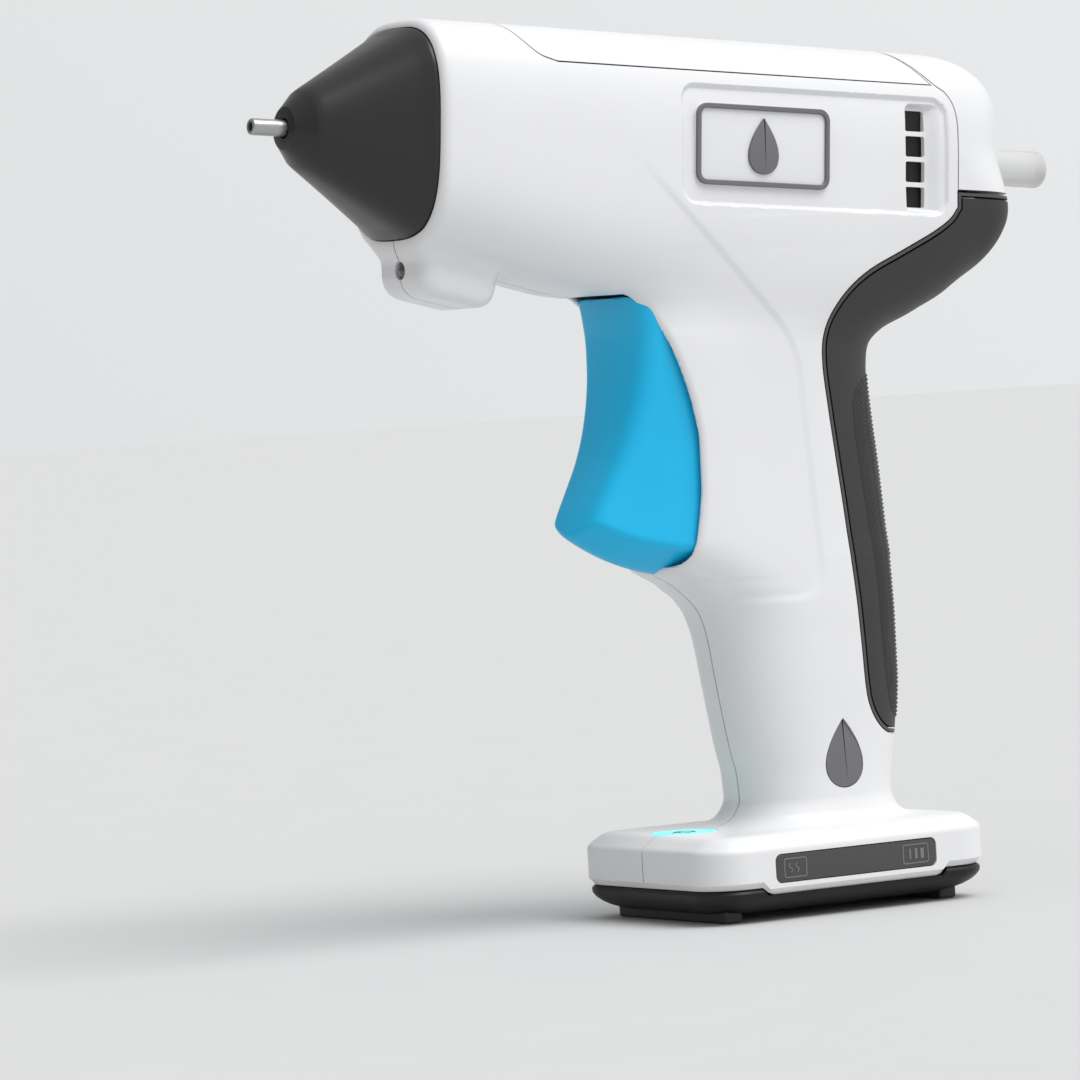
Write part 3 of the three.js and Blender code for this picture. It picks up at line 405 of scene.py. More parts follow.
def relax(p, quads):
    """Moves each point halfway to the middle of its neighbours."""
    ends = np.concatenate([quads[:, [i, (i + 1) % 4]] for i in range(4)])
    ends = np.concatenate([ends, ends[:, ::-1]])
    count = np.bincount(ends[:, 0], minlength=len(p))
    total = np.stack([np.bincount(ends[:, 0], p[ends[:, 1], axis], len(p)) for axis in range(3)], 1)
    return (p + total / np.maximum(count, 1)[:, None]) / 2


CORNERS = [(i, j, k) for i in (0, 1) for j in (0, 1) for k in (0, 1)]


def part_at_pinches(values):
    """Fills samples where the inside would only meet itself along an edge or at a corner."""
    pinched = True
    while pinched:
        inside = values < 0
        fill = np.zeros_like(inside)
        for first, second in ((0, 1), (0, 2), (1, 2)):
            squares = []
            for a, b in ((0, 0), (1, 1), (1, 0), (0, 1)):
                place = [slice(None)] * 3
                place[first] = slice(a, values.shape[first] - 1 + a)
                place[second] = slice(b, values.shape[second] - 1 + b)
                squares.append(tuple(place))
            p, q, r, s = (inside[square] for square in squares)
            checker = (p == q) & (r == s) & (p != r)
            for square in squares:
                fill[square] |= checker
        span = np.array(values.shape) - 1
        corners = [tuple(slice(k, n + k) for k, n in zip(c, span)) for c in CORNERS]
        count = sum(inside[c].astype(np.int8) for c in corners)
        for i in range(4):
            same = inside[corners[i]] == inside[corners[7 - i]]
            lone = np.where(inside[corners[i]], count == 2, count == 6) & same
            for c in corners:
                fill[c] |= lone
        pinched = bool((fill & ~inside).any())
        values[fill & ~inside] = -0.01
    return values


def surface(field, low, high, step, block=4):
    """Points and quads of a field's surface within a box, by surface nets."""
    low = np.asarray(low, float)
    blocks = np.ceil((np.asarray(high) - low) / (step * block)).astype(int)
    middles = np.stack(np.meshgrid(*[np.arange(n) + 0.5 for n in blocks], indexing="ij"), -1)
    rough = field(*(low + middles.reshape(-1, 3) * step * block).T).reshape(blocks)
    near = np.argwhere(np.abs(rough) < 1.25 * step * block)
    values = rough.repeat(block, 0).repeat(block, 1).repeat(block, 2)
    within = np.stack(np.meshgrid(*[np.arange(block)] * 3, indexing="ij"), -1).reshape(-1, 3)
    cells = (near[:, None] * block + within).reshape(-1, 3)
    values[tuple(cells.T)] = field(*(low + (cells + 0.5) * step).T)
    values = part_at_pinches(values)

    inside = values < 0
    span = np.array(values.shape) - 1
    corners = np.array(CORNERS)
    count = sum(inside[i:span[0] + i, j:span[1] + j, k:span[2] + k].astype(np.int8)
                for i, j, k in corners)
    mixed = np.argwhere((count > 0) & (count < 8))
    number = np.full(span, -1, np.int32)
    number[tuple(mixed.T)] = np.arange(len(mixed))
    at_corner = [values[tuple((mixed + c).T)] for c in corners]
    total, hits = np.zeros((len(mixed), 3)), np.zeros(len(mixed))
    for a in range(8):
        for axis, bit in enumerate((4, 2, 1)):
            if a & bit:
                continue
            va, vb = at_corner[a], at_corner[a | bit]
            crossed = (va < 0) != (vb < 0)
            share = va / np.where(crossed, va - vb, 1)
            at = np.repeat(corners[a][None].astype(float), len(mixed), 0)
            at[:, axis] += share
            total += at * crossed[:, None]
            hits += crossed
    points = low + (mixed + total / hits[:, None] + 0.5) * step

    quads = []
    for axis in range(3):
        b, c = (axis + 1) % 3, (axis + 2) % 3
        first = inside.take(range(values.shape[axis] - 1), axis)
        second = inside.take(range(1, values.shape[axis]), axis)
        for start_inside in (True, False):
            edge = np.argwhere((first == start_inside) & (second != start_inside))
            edge = edge[(edge[:, b] > 0) & (edge[:, c] > 0)
                        & (edge[:, b] < span[b]) & (edge[:, c] < span[c])]
            around = []
            for db, dc in ((1, 1), (0, 1), (0, 0), (1, 0)):
                cell = edge.copy()
                cell[:, b] -= db
                cell[:, c] -= dc
                around.append(number[tuple(cell.T)])
            quad = np.stack(around, 1)
            quads.append(quad if start_inside else quad[:, ::-1])
    return points, np.concatenate(quads)


def align(points, distance):
    """Draws points on the gun's sides onto the two borders and the middle of a soft edge."""
    x, y, z = points.T
    d = distance(x, z)
    rate = 0.02
    along_x = (distance(x + rate, z) - distance(x - rate, z)) / (2 * rate)
    along_z = (distance(x, z + rate) - distance(x, z - rate)) / (2 * rate)
    line = np.clip(np.round(d / EDGE), -1, 1) * EDGE
    move = np.where((np.abs(d - line) < EDGE * 0.55) & (np.abs(y) > 9), line - d, 0)
    return points + np.stack([move * along_x, np.zeros_like(move), move * along_z], 1)


def solid_surface(field, low, high, step, edges=()):
    """Points and quads of a surface, drawn along the soft edges whose distances are given."""
    points, quads = surface(field, low, high, step)
    for _ in range(2):
        points = settle(field, points, 2, step)
        points = relax(points, quads)
    for distance in edges:
        points = align(points, distance)
    return settle(field, points, 4, step), quads


# ---------------------------------------------------------------- meshes
def new_object(name, points, faces):
    """A mesh object from points in millimetres and faces, either an array or a list."""
    mesh = bpy.data.meshes.new(name)
    if isinstance(faces, np.ndarray):
        count, corners = faces.shape
        mesh.vertices.add(len(points))
        mesh.vertices.foreach_set("co", (np.asarray(points) * MM).astype(np.float32).ravel())
        mesh.loops.add(count * corners)
        mesh.loops.foreach_set("vertex_index", faces.astype(np.int32).ravel())
        mesh.polygons.add(count)
        mesh.polygons.foreach_set("loop_start", np.arange(0, count * corners, corners, np.int32))
        mesh.update(calc_edges=True)
    else:
        mesh.from_pydata((np.asarray(points) * MM).tolist(), [], faces)
    obj = bpy.data.objects.new(name, mesh)
    bpy.context.scene.collection.objects.link(obj)
    return obj


def loft(name, rings, closed_path=False):
    """A closed skin over rings of points, capped at its ends unless the path is closed."""
    rings = np.asarray(rings, float)
    layers, count = rings.shape[:2]
    faces = []
    for r in range(layers if closed_path else layers - 1):
        nxt = (r + 1) % layers
        for i in range(count):
            j = (i + 1) % count
            faces.append((r * count + i, r * count + j, nxt * count + j, nxt * count + i))
    if not closed_path:
        faces.append(tuple(range(count))[::-1])
        faces.append(tuple(range((layers - 1) * count, layers * count)))
    obj = new_object(name, rings.reshape(-1, 3), faces)
    face_outwards(obj)
    return obj


def face_outwards(obj):
    """Turns every face of a closed mesh outwards."""
    work = bmesh.new()
    work.from_mesh(obj.data)
    bmesh.ops.recalc_face_normals(work, faces=work.faces)
    work.to_mesh(obj.data)
    work.free()


def prism(name, outline, low, high):
    """A side-view outline of (x, z) points, from y = low to y = high."""
    return loft(name, [[(x, y, z) for x, z in outline] for y in (low, high)])


def plate(name, outline, inner, outer, edge):
    """A side-view outline made into a plate with rounded outer edges, from y = inner to outer."""
    side = math.copysign(1, outer - inner)
    rings = [[(x, inner, z) for x, z in outline]]
    for i in range(5):
        angle = math.pi / 2 * i / 4
        y = outer - side * edge * (1 - math.sin(angle))
        ring = spread(outline, -edge * (1 - math.cos(angle)))
        rings.append([(x, y, z) for x, z in ring])
    return loft(name, rings)


def along_axis(name, profile, sides=64):
    """A body along the barrel axis, from rows of (u, half height, half width, power)."""
    rings = []
    for u, high, wide, power in profile:
        ring = []
        for i in range(sides):
            angle = 2 * math.pi * i / sides
            c, s = math.cos(angle), math.sin(angle)
            x, z = from_barrel(u, high * math.copysign(abs(c) ** (2 / power), c))
            ring.append((x, wide * math.copysign(abs(s) ** (2 / power), s), z))
        rings.append(ring)
    return loft(name, rings)


def rod(name, profile):
    """A round body along the barrel axis, from rows of (u, radius)."""
    return along_axis(name, [(u, radius, radius, 2) for u, radius in profile])


TURNED_SIDES = 64


def turned(name, profile, x, y, z, axis="Z"):
    """A body turned round an axis through (x, y, z), from rows of (radius, distance along it)."""
    rings = []
    for radius, along in profile:
        ring = []
        for i in range(TURNED_SIDES):
            angle = 2 * math.pi * i / TURNED_SIDES
            a, b = radius * math.cos(angle), radius * math.sin(angle)
            offset = {"Z": (a, b, along), "Y": (a, along, b), "X": (along, a, b)}[axis]
            ring.append((x + offset[0], y + offset[1], z + offset[2]))
        rings.append(ring)
    return loft(name, rings)


def cut(obj, cutter, how="DIFFERENCE"):
    """Takes a cutter away from a mesh, or keeps only what is inside it, and drops the cutter."""
    modifier = obj.modifiers.new("cut", "BOOLEAN")
    modifier.operation = how
    modifier.solver = "MANIFOLD"
    modifier.object = cutter
    view = bpy.context.evaluated_depsgraph_get()
    made = bpy.data.meshes.new_from_object(obj.evaluated_get(view))
    obj.modifiers.clear()
    old, obj.data = obj.data, made
    bpy.data.meshes.remove(old)
    bpy.data.objects.remove(cutter)
    return obj


def weld(obj):
    """Joins vertices that lie at the same place, which closes a mesh."""
    work = bmesh.new()
    work.from_mesh(obj.data)
    bmesh.ops.remove_doubles(work, verts=work.verts, dist=1e-6)
    work.to_mesh(obj.data)
    work.free()


def copy_of(obj, name):
    """A new object with its own copy of a mesh."""
    twin = bpy.data.objects.new(name, obj.data.copy())
    bpy.context.scene.collection.objects.link(twin)
    return twin


def corners_of(mesh):
    """Vertices in millimetres, the vertex and face of each corner, and the faces' normals."""
    points = np.empty(len(mesh.vertices) * 3, np.float32)
    mesh.vertices.foreach_get("co", points)
    vertex = np.empty(len(mesh.loops), np.int32)
    mesh.loops.foreach_get("vertex_index", vertex)
    sizes = np.empty(len(mesh.polygons), np.int32)
    mesh.polygons.foreach_get("loop_total", sizes)
    normals = np.empty(len(mesh.polygons) * 3, np.float32)
    mesh.polygons.foreach_get("normal", normals)
    face = np.repeat(np.arange(len(sizes)), sizes)
    return points.reshape(-1, 3).astype(float) / MM, vertex, face, normals.reshape(-1, 3)


def shade_from(obj, field, tolerance=0.08):
    """Shades a mesh by the true normals of its field, and its cut faces flat."""
    mesh = obj.data
    points, vertex, face, flat = corners_of(mesh)
    slope = gradient(field, points)
    slope /= np.maximum(np.linalg.norm(slope, axis=1), 1e-9)[:, None]
    on_surface = np.abs(field(*points.T)) < tolerance
    agree = (slope[vertex] * flat[face]).sum(1) > 0.8
    use = (on_surface[vertex] & agree)[:, None]
    normals = np.where(use, slope[vertex], flat[face])
    mesh.polygons.foreach_set("use_smooth", np.ones(len(mesh.polygons), bool))
    mesh.normals_split_custom_set(normals.tolist())
    mesh.update()


def shade_smooth(obj, angle=35):
    """Shades a mesh smoothly, apart from edges sharper than an angle."""
    mesh = obj.data
    mesh.polygons.foreach_set("use_smooth", np.ones(len(mesh.polygons), bool))
    mesh.set_sharp_from_angle(angle=math.radians(angle))
    return obj


# ---------------------------------------------------------------- materials
def node_material(name, colour, second, roughness, spread_of=0.06, grain=0.0, grain_size=900,
                  patch_size=45, metallic=0.0, coat=0.0, emission=None, transmission=0.0,
                  subsurface=0.0, ior=1.5, brushed=False):
    """A procedural finish: colour and gloss that drift over patches, and a fine surface grain."""
    material = bpy.data.materials.new(name)
    material.use_nodes = True
    tree = material.node_tree
    nodes, link = tree.nodes, tree.links.new
    shader = nodes["Principled BSDF"]
    place = nodes.new("ShaderNodeTexCoord")
    stretch = nodes.new("ShaderNodeMapping")
    stretch.inputs["Scale"].default_value = (0.15, 1, 1) if brushed else (1, 1, 1)
    link(place.outputs["Object"], stretch.inputs["Vector"])

    patches = nodes.new("ShaderNodeTexNoise")
    patches.inputs["Scale"].default_value = patch_size
    patches.inputs["Detail"].default_value = 3
    link(stretch.outputs["Vector"], patches.inputs["Vector"])
    tint = nodes.new("ShaderNodeMix")
    tint.data_type = "RGBA"
    tint.inputs["A"].default_value = (*colour, 1)
    tint.inputs["B"].default_value = (*second, 1)
    link(patches.outputs["Fac"], tint.inputs["Factor"])
    link(tint.outputs["Result"], shader.inputs["Base Color"])

    gloss = nodes.new("ShaderNodeMapRange")
    gloss.inputs["From Min"].default_value = 0.3
    gloss.inputs["From Max"].default_value = 0.7
    gloss.inputs["To Min"].default_value = roughness - spread_of / 2
    gloss.inputs["To Max"].default_value = roughness + spread_of / 2
    link(patches.outputs["Fac"], gloss.inputs["Value"])
    link(gloss.outputs["Result"], shader.inputs["Roughness"])
    if grain:
        fine = nodes.new("ShaderNodeTexNoise")
        fine.inputs["Scale"].default_value = grain_size
        fine.inputs["Detail"].default_value = 4
        link(stretch.outputs["Vector"], fine.inputs["Vector"])
        bump = nodes.new("ShaderNodeBump")
        bump.inputs["Strength"].default_value = 0.6
        bump.inputs["Distance"].default_value = grain
        link(fine.outputs["Fac"], bump.inputs["Height"])
        link(bump.outputs["Normal"], shader.inputs["Normal"])

    shader.inputs["Metallic"].default_value = metallic
    shader.inputs["IOR"].default_value = ior
    shader.inputs["Coat Weight"].default_value = coat
    shader.inputs["Coat Roughness"].default_value = 0.12
    shader.inputs["Transmission Weight"].default_value = transmission
    shader.inputs["Subsurface Weight"].default_value = subsurface
    shader.inputs["Subsurface Radius"].default_value = (0.004, 0.004, 0.004)
    if emission:
        shader.inputs["Emission Color"].default_value = (*emission[0], 1)
        shader.inputs["Emission Strength"].default_value = emission[1]
    return material


def grey(value, blue=1.0):
    """A grey, with its blue part scaled."""
    return (value, value, min(value * blue, 1))


FINISHES = {
    "white_shell": node_material("white_shell", grey(0.755, 1.01), grey(0.785, 1.005), 0.36,
                                 grain=0.000015, grain_size=1600, coat=0.15),
    "grip_rubber": node_material("grip_rubber", grey(0.02, 1.02), grey(0.028, 1.02), 0.5,
                                 grain=0.00004, grain_size=2200, spread_of=0.1),
    "dark_tray": node_material("dark_tray", grey(0.006), grey(0.009), 0.42, grain=0.00003,
                               grain_size=1800, spread_of=0.08, ior=1.38),
    "grey_trim": node_material("grey_trim", grey(0.13, 1.1), grey(0.16, 1.1), 0.42,
                               grain=0.00002, grain_size=1500),
    "black_cone": node_material("black_cone", grey(0.008, 1.05), grey(0.011, 1.05), 0.33,
                                grain=0.000012, grain_size=1500),
    "bare_steel": node_material("bare_steel", grey(0.4), grey(0.47), 0.34, metallic=1,
                                grain=0.00003, grain_size=2600, brushed=True, spread_of=0.12),
    "cast_aluminium": node_material("cast_aluminium", grey(0.58), grey(0.68), 0.42, metallic=1,
                                    grain=0.00006, grain_size=1200),
    "brass_parts": node_material("brass_parts", (0.62, 0.43, 0.16), (0.55, 0.36, 0.13), 0.35,
                                 metallic=1, grain=0.00002),
    "inlet_silicone": node_material("inlet_silicone", (0.45, 0.07, 0.035), (0.4, 0.06, 0.03),
                                    0.55, grain=0.00004),
    "stick_glue": node_material("stick_glue", grey(0.86), grey(0.78), 0.22, transmission=0.45,
                                subsurface=0.35, grain=0.00003, grain_size=400, ior=1.46,
                                brushed=True),
    "blue_trigger": node_material("blue_trigger", (0.004, 0.46, 0.8), (0.006, 0.49, 0.83), 0.38,
                                  grain=0.000012, grain_size=1500, ior=1.42),
    "teal_light": node_material("teal_light", (0.2, 0.85, 0.82), (0.24, 0.92, 0.9), 0.4,
                                emission=((0.19, 0.88, 0.82), 0.45)),
    "smoked_window": node_material("smoked_window", grey(0.043), grey(0.05), 0.16, coat=0.3,
                                   spread_of=0.03),
    "circuit_board": node_material("circuit_board", (0.02, 0.15, 0.07), (0.015, 0.12, 0.055),
                                   0.45, grain=0.00004),
    "cell_sleeve": node_material("cell_sleeve", (0.04, 0.15, 0.38), (0.035, 0.13, 0.34), 0.35),
    "red_wire": node_material("red_wire", (0.45, 0.03, 0.02), (0.4, 0.025, 0.018), 0.45,
                              grain=0.00002),
    "black_wire": node_material("black_wire", grey(0.012), grey(0.018), 0.45, grain=0.00002),
}
# Painted shade: a darker rubber for the ridged pad, standing in for the shade of its texture and of
# the groove round it.
PAD_SHADE_RUBBER = node_material("pad_rubber_painted_shade", grey(0.010, 1.02), grey(0.015, 1.02), 0.45,
                             grain=0.00003, grain_size=2200, spread_of=0.1)
# Painted highlight: a grey a little lighter than the grip rubber, for the light along the grip's
# edge beside the seam.
GRIP_EDGE_SHEEN = node_material("grip_edge_painted_sheen", grey(0.055, 1.02), grey(0.07, 1.02), 0.5)
ICON_GREY = node_material("icon_grey", grey(0.16), grey(0.19), 0.3)
LIGHT_LENS = node_material("light_lens", grey(0.05), grey(0.07), 0.08, coat=0.6, spread_of=0.04)

SLOT_OF = {
    "shell_left": "white_shell", "shell_right": "white_shell", "top_cover": "white_shell",
    "rear_cap": "white_shell", "rear_grip": "grip_rubber", "base_tray": "dark_tray",
    "front_pad": "grip_rubber", "rear_pad": "grip_rubber", "badge_left": "grey_trim",
    "badge_right": "grey_trim", "vent_baffle_left": "dark_tray",
    "vent_baffle_right": "dark_tray", "handle_inlay_left": "grey_trim",
    "handle_inlay_right": "grey_trim", "nose_cone": "black_cone", "nozzle": "bare_steel",
    "melt_chamber": "cast_aluminium", "heater_plate": "brass_parts",
    "heater_clip": "bare_steel", "thermal_fuse": "bare_steel",
    "inlet_sleeve": "inlet_silicone", "sleeve_ring": "bare_steel", "glue_stick": "stick_glue",
    "carriage": "dark_tray", "gripper_jaw": "bare_steel", "jaw_pin": "bare_steel",
    "trigger": "blue_trigger", "trigger_pin": "bare_steel", "trigger_spring": "bare_steel",
    "battery_cell": "cell_sleeve", "battery_contact_top": "brass_parts",
    "battery_contact_bottom": "brass_parts", "main_board": "circuit_board",
    "button_switch": "dark_tray", "power_button": "teal_light", "button_ring": "grey_trim",
    "status_window": "smoked_window", "status_board": "circuit_board",
    "status_lamp_heat": "teal_light", "status_lamp_charge": "teal_light",
    "charge_socket": "bare_steel", "work_light": "stick_glue", "battery_lead": "red_wire",
    "heater_lead_left": "red_wire", "heater_lead_right": "black_wire",
    "light_lead": "black_wire",
}
for node_name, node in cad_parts.items():
    slot_name = SLOT_OF.get(node_name, "bare_steel")
    node.data.materials.clear()
    node.data.materials.append(FINISHES[slot_name])


def dress(obj, body, slot_name, *nodes, finish=None):
    """Gives a piece its slot's finish, or the one given, and its body, and hides the CAD nodes it
    stands for.
    """
    obj.data.materials.clear()
    obj.data.materials.append(finish or FINISHES[slot_name])
    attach(obj, body)
    if nodes:
        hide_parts(*nodes)
    return obj


# ---------------------------------------------------------------- the moulded housing
points, quads = solid_surface(housing_field, (-62, -27.5, 2.5), (79.5, 27.5, 174), GRID,
                              (panel_distance, scoop_distance))
housing = new_object("housing", points, quads)

cover_line = [(-46, 27), (-43.4, 23), (-41.6, 20.8), (-39.4, 17.6), (-36.6, 15), (-33, 13.8)]
cover_outline = row_outline(through(cover_line) + [(52.6, 13.8), (45, 21.4), (41, 27)])
cap_line = [(53.4, 13.8), (55.6, 12.2), (57, 9.6), (57.5, 6), (57.5, 0)]
cap_outline = row_outline([(40, 27), (45.2, 21.4)] + through(cap_line)
                          + [(57.5, -6.3), (84, -6.3), (84, 27)])
grip_line = [(56.6, 131.9), (54.6, 129.7), (50.6, 127.4), (43, 124.1),
             (36, 121.1), (31.2, 117.9), (27.7, 113.9), (25.7, 109.6), (25.1, 104), (26.1, 94.5),
             (28.3, 76.5), (29.5, 64), (30.5, 51.5), (31.1, 42), (32, 37.8), (33.9, 34.6),
             (36.6, 32.6), (40, 31.8)]
grip_outline = ([from_barrel(84, -6.6), from_barrel(57.4, -6.6)] + through(grip_line)
                + [(52, 31.6), (86, 100)])


def across(name, outline, margin=0.0):
    """A cutter across the whole gun."""
    return prism(name, spread(outline, margin) if margin else outline, -FAR, FAR)


def part_of_housing(name, outline, margin=0.0):
    return cut(copy_of(housing, name), across("cutter", outline, margin), "INTERSECT")


cover = part_of_housing("top_cover_skin", cover_outline, -SEAM)
cap = part_of_housing("rear_cap_skin", cap_outline, -SEAM)
cut(cap, rod("cutter", [(50, 4.3), (80, 4.3)]))
grip = part_of_housing("rear_grip_skin", grip_outline, -1.15)
grip_border = part_of_housing("rear_grip_border", grip_outline, -SEAM)
cut(grip_border, across("cutter", grip_outline, -0.75))

for outline in (cover_outline, cap_outline, grip_outline):
    cut(housing, across("cutter", outline, SEAM))
below = [(-40, SHELL_BOTTOM), (APRON_FRONT - 1.4, SHELL_BOTTOM), (APRON_FRONT, APRON_BOTTOM),
         (APRON_BACK, APRON_BOTTOM), (APRON_BACK + 1.4, SHELL_BOTTOM), (70, SHELL_BOTTOM),
         (70, 0), (-40, 0)]
cut(housing, across("cutter", below))
mouth_rows = [(u, 19.7, 15.9, BARREL_POWER) for u in (BARREL_FRONT - 4, BARREL_FRONT + 4.6)]
cut(housing, along_axis("cutter", mouth_rows, sides=128))
cut(housing, turned("cutter", [(RING_RADIUS + 0.12, 0), (RING_RADIUS + 0.12, 10)],
                    BUTTON_X, 0, 11))
cut(housing, prism("cutter", rounded_rectangle(WINDOW[0] - 0.15, WINDOW[1] + 0.15,
                                               WINDOW[2] - 0.15, WINDOW[3] + 0.15, 1.35),
                   -FAR, -FOOT_HALF + 4))
cut(housing, turned("cutter", [(EYE_RADIUS + 0.2, 0), (EYE_RADIUS + 0.2, 14)], -66, 0, EYE_Z, "X"))
socket_outline = rounded_rectangle(-SOCKET_HALF, SOCKET_HALF, SOCKET_LOW, SOCKET_HIGH, 1.9)
cut(housing, loft("cutter", [[(x, y, z) for y, z in socket_outline] for x in (44, 60)]))
vent_front, vent_back, vent_low, vent_high = VENT
vent_pitch = (vent_high - vent_low + VENT_RIB) / VENT_SLOTS
for i in range(VENT_SLOTS):
    slot_low = vent_low + i * vent_pitch
    slot_high = slot_low + vent_pitch - VENT_RIB
    slot_outline = row_outline(rounded_rectangle(vent_front, vent_back, slot_low, slot_high, 0.4))
    for side in (-1, 1):
        cut(housing, prism("cutter", slot_outline, *sorted((side * 9, side * FAR))))
inlay_shape = [(INLAY_X + a, INLAY_Z + b) for a, b in drop_outline(INLAY_RADIUS)]
for side in (-1, 1):
    cut(housing, prism("cutter", spread(inlay_shape, 0.15),
                       *sorted((side * (SIDE_AT_INLAY - 1.1), side * FAR))))
for x, z in SCREW_PLACES:
    cut(housing, turned("cutter", [(SCREW_HOLE, SCREW_SEAT), (SCREW_HOLE, 30)], x, 0, z, "Y"))

everything = [(-90, -5), (110, -5), (110, 190), (-90, 190)]
left = cut(copy_of(housing, "shell_left_skin"), prism("cutter", everything, -FAR, -SHELL_SEAM),
           "INTERSECT")
right = cut(copy_of(housing, "shell_right_skin"), prism("cutter", everything, SHELL_SEAM, FAR),
            "INTERSECT")
bpy.data.objects.remove(housing)

for piece, slot_name, nodes in (
        (left, "white_shell", ["shell_left"]), (right, "white_shell", ["shell_right"]),
        (cover, "white_shell", ["top_cover"]), (cap, "white_shell", ["rear_cap"]),
        (grip, "grip_rubber", ["rear_grip"])):
    shade_from(piece, outer_field)
    dress(piece, "housing", slot_name, *nodes)
# The strip along the grip's edge gets the lighter grey, as painted highlight.
shade_from(grip_border, outer_field)
dress(grip_border, "housing", "grip_rubber", finish=GRIP_EDGE_SHEEN)


# ---------------------------------------------------------------- foot
def foot_loop(step=1.2):
    """Points round the edge of the foot, close enough together to follow the dip."""
    outline = rounded_rectangle(FOOT_FRONT, FOOT_BACK, -FOOT_HALF, FOOT_HALF, FOOT_CORNER, 12)
    loop = []
    for (x0, y0), (x1, y1) in zip(outline, outline[1:] + outline[:1]):
        pieces = max(1, round(math.hypot(x1 - x0, y1 - y0) / step))
        loop += [(x0 + (x1 - x0) * i / pieces, y0 + (y1 - y0) * i / pieces)
                 for i in range(pieces)]
    return loop


def shell_edge(x, y):
    """Height of the lower edge of the white face, which dips under the status window."""
    if abs(y) < FOOT_HALF - 3:
        return SHELL_BOTTOM
    dip = min(max(min(x - APRON_FRONT + 1.4, APRON_BACK + 1.4 - x) / 1.4, 0), 1)
    return SHELL_BOTTOM - (SHELL_BOTTOM - APRON_BOTTOM) * dip


def inset_loop(inset, height):
    """The edge of the foot drawn in by an inset, at a height for each of its points."""
    middle_x, half_x = (FOOT_FRONT + FOOT_BACK) / 2, (FOOT_BACK - FOOT_FRONT) / 2
    return [(middle_x + (x - middle_x) * (half_x - inset) / half_x,
             y * (FOOT_HALF - inset) / FOOT_HALF, height(x, y)) for x, y in foot_loop()]


lip = loft("shell_lip", [inset_loop(inset, lambda x, y, drop=drop: shell_edge(x, y) - drop)
                         for inset, drop in ((0.15, 0), (0.85, LIP), (2.4, LIP), (2.4, -0.4),
                                             (1, -0.4), (0.3, -0.02))], closed_path=True)
shade_smooth(lip)
dress(lip, "housing", "white_shell")

TRAY_PROFILE = [(6.55, 1.6), (6.5, 1.1), (6.25, 0.6), (5.8, 0.35), (5.0, 0.45), (4.2, 0.95),
                (3.4, 1.8), (2.7, 2.9), (2.1, 4.3), (1.7, 5.8), (1.6, 7)]
tray = loft("base_tray_skin", [inset_loop(inset, lambda x, y, z=z: z)
                               for z, inset in TRAY_PROFILE])
apron_cut = [(APRON_FRONT - 2.9, 9), (APRON_FRONT - 1.5, SHELL_BOTTOM - LIP - 0.1),
             (APRON_FRONT - 0.1, APRON_BOTTOM - LIP - 0.1),
             (APRON_BACK + 0.1, APRON_BOTTOM - LIP - 0.1),
             (APRON_BACK + 1.5, SHELL_BOTTOM - LIP - 0.1), (APRON_BACK + 2.9, 9)]
for side in (-1, 1):
    cut(tray, prism("cutter", apron_cut, *sorted((side * 21.5, side * 30))))
PAD_XS, PAD_HALF, PAD_TOP = (-5.6, 44.1), 18.3, 2.8
for node_name, x in zip(("front_pad", "rear_pad"), PAD_XS):
    cut(tray, prism("cutter", [(x - 2.2, 0), (x + 2.2, 0), (x + 2.2, 3), (x - 2.2, 3)],
                    -PAD_HALF - 0.2, PAD_HALF + 0.2))
    levels = [(0, 0.3), (0.3, 0), (PAD_TOP, 0)]
    pad = loft(node_name + "_skin", [
        [(a, b, z) for a, b in rounded_rectangle(x - 2 + inset, x + 2 - inset, -PAD_HALF + inset,
                                                 PAD_HALF - inset, 0.7)] for z, inset in levels])
    shade_smooth(pad)
    dress(pad, "housing", "grip_rubber", node_name)
for x, y in ((3, -16), (3, 16), (35.5, -16), (35.5, 16)):
    cut(tray, turned("cutter", [(3.1, 0), (3.1, 4.2)], x, y, 0))
shade_smooth(tray, 30)
dress(tray, "housing", "dark_tray", "base_tray")

# Status window, with a heat mark and a battery gauge behind its glass.
glass = plate("status_window_glass", rounded_rectangle(*WINDOW, 1.2), -FOOT_HALF + 1.6,
              -FOOT_HALF + 0.12, 0.2)
shade_smooth(glass)
dress(glass, "housing", "smoked_window", "status_window")


MARK_Y, MARK_HALF = -FOOT_HALF + 0.16, 0.12


def stroke(name, route, width):
    """A flat mark on the window, of even width along a route of (x, z) points."""
    line = np.asarray(route, float)
    ahead = np.gradient(line, axis=0)
    ahead /= np.linalg.norm(ahead, axis=1)[:, None]
    side = np.stack([-ahead[:, 1], ahead[:, 0]], 1) * width / 2
    outline = [tuple(q) for q in np.vstack([line + side, (line - side)[::-1]])]
    return prism(name, outline, MARK_Y - MARK_HALF, MARK_Y + MARK_HALF)


marks = []
for i in range(2):
    x = 3.6 + 1.5 * i
    wave = [(x + 0.35 * math.sin(t * 2 * math.pi), 9.0 + 1.7 * t) for t in np.linspace(0, 1, 17)]
    marks.append(stroke(f"heat_wave_{i + 1}", wave, 0.2))
for name, low_x, high_x in (("heat_frame", 2.2, 7.2), ("battery_frame", 29.6, 35.4)):
    frame_line = rounded_rectangle(low_x, high_x, 8.1, 11.6, 0.4, 4)
    section = ((-MARK_HALF, 0.1), (MARK_HALF, 0.1), (MARK_HALF, -0.1), (-MARK_HALF, -0.1))
    rings = [[(x, MARK_Y - out, z) for x, z in spread(frame_line, wider)]
             for out, wider in section]
    marks.append(loft(name, rings, closed_path=True))
for i in range(3):
    x = 31.2 + 1.4 * i
    marks.append(stroke(f"battery_bar_{i + 1}", [(x, 8.9), (x, 10.8)], 0.35 + 0.2 * i))
for mark in marks:
    dress(mark, "housing", "grey_trim", finish=ICON_GREY)

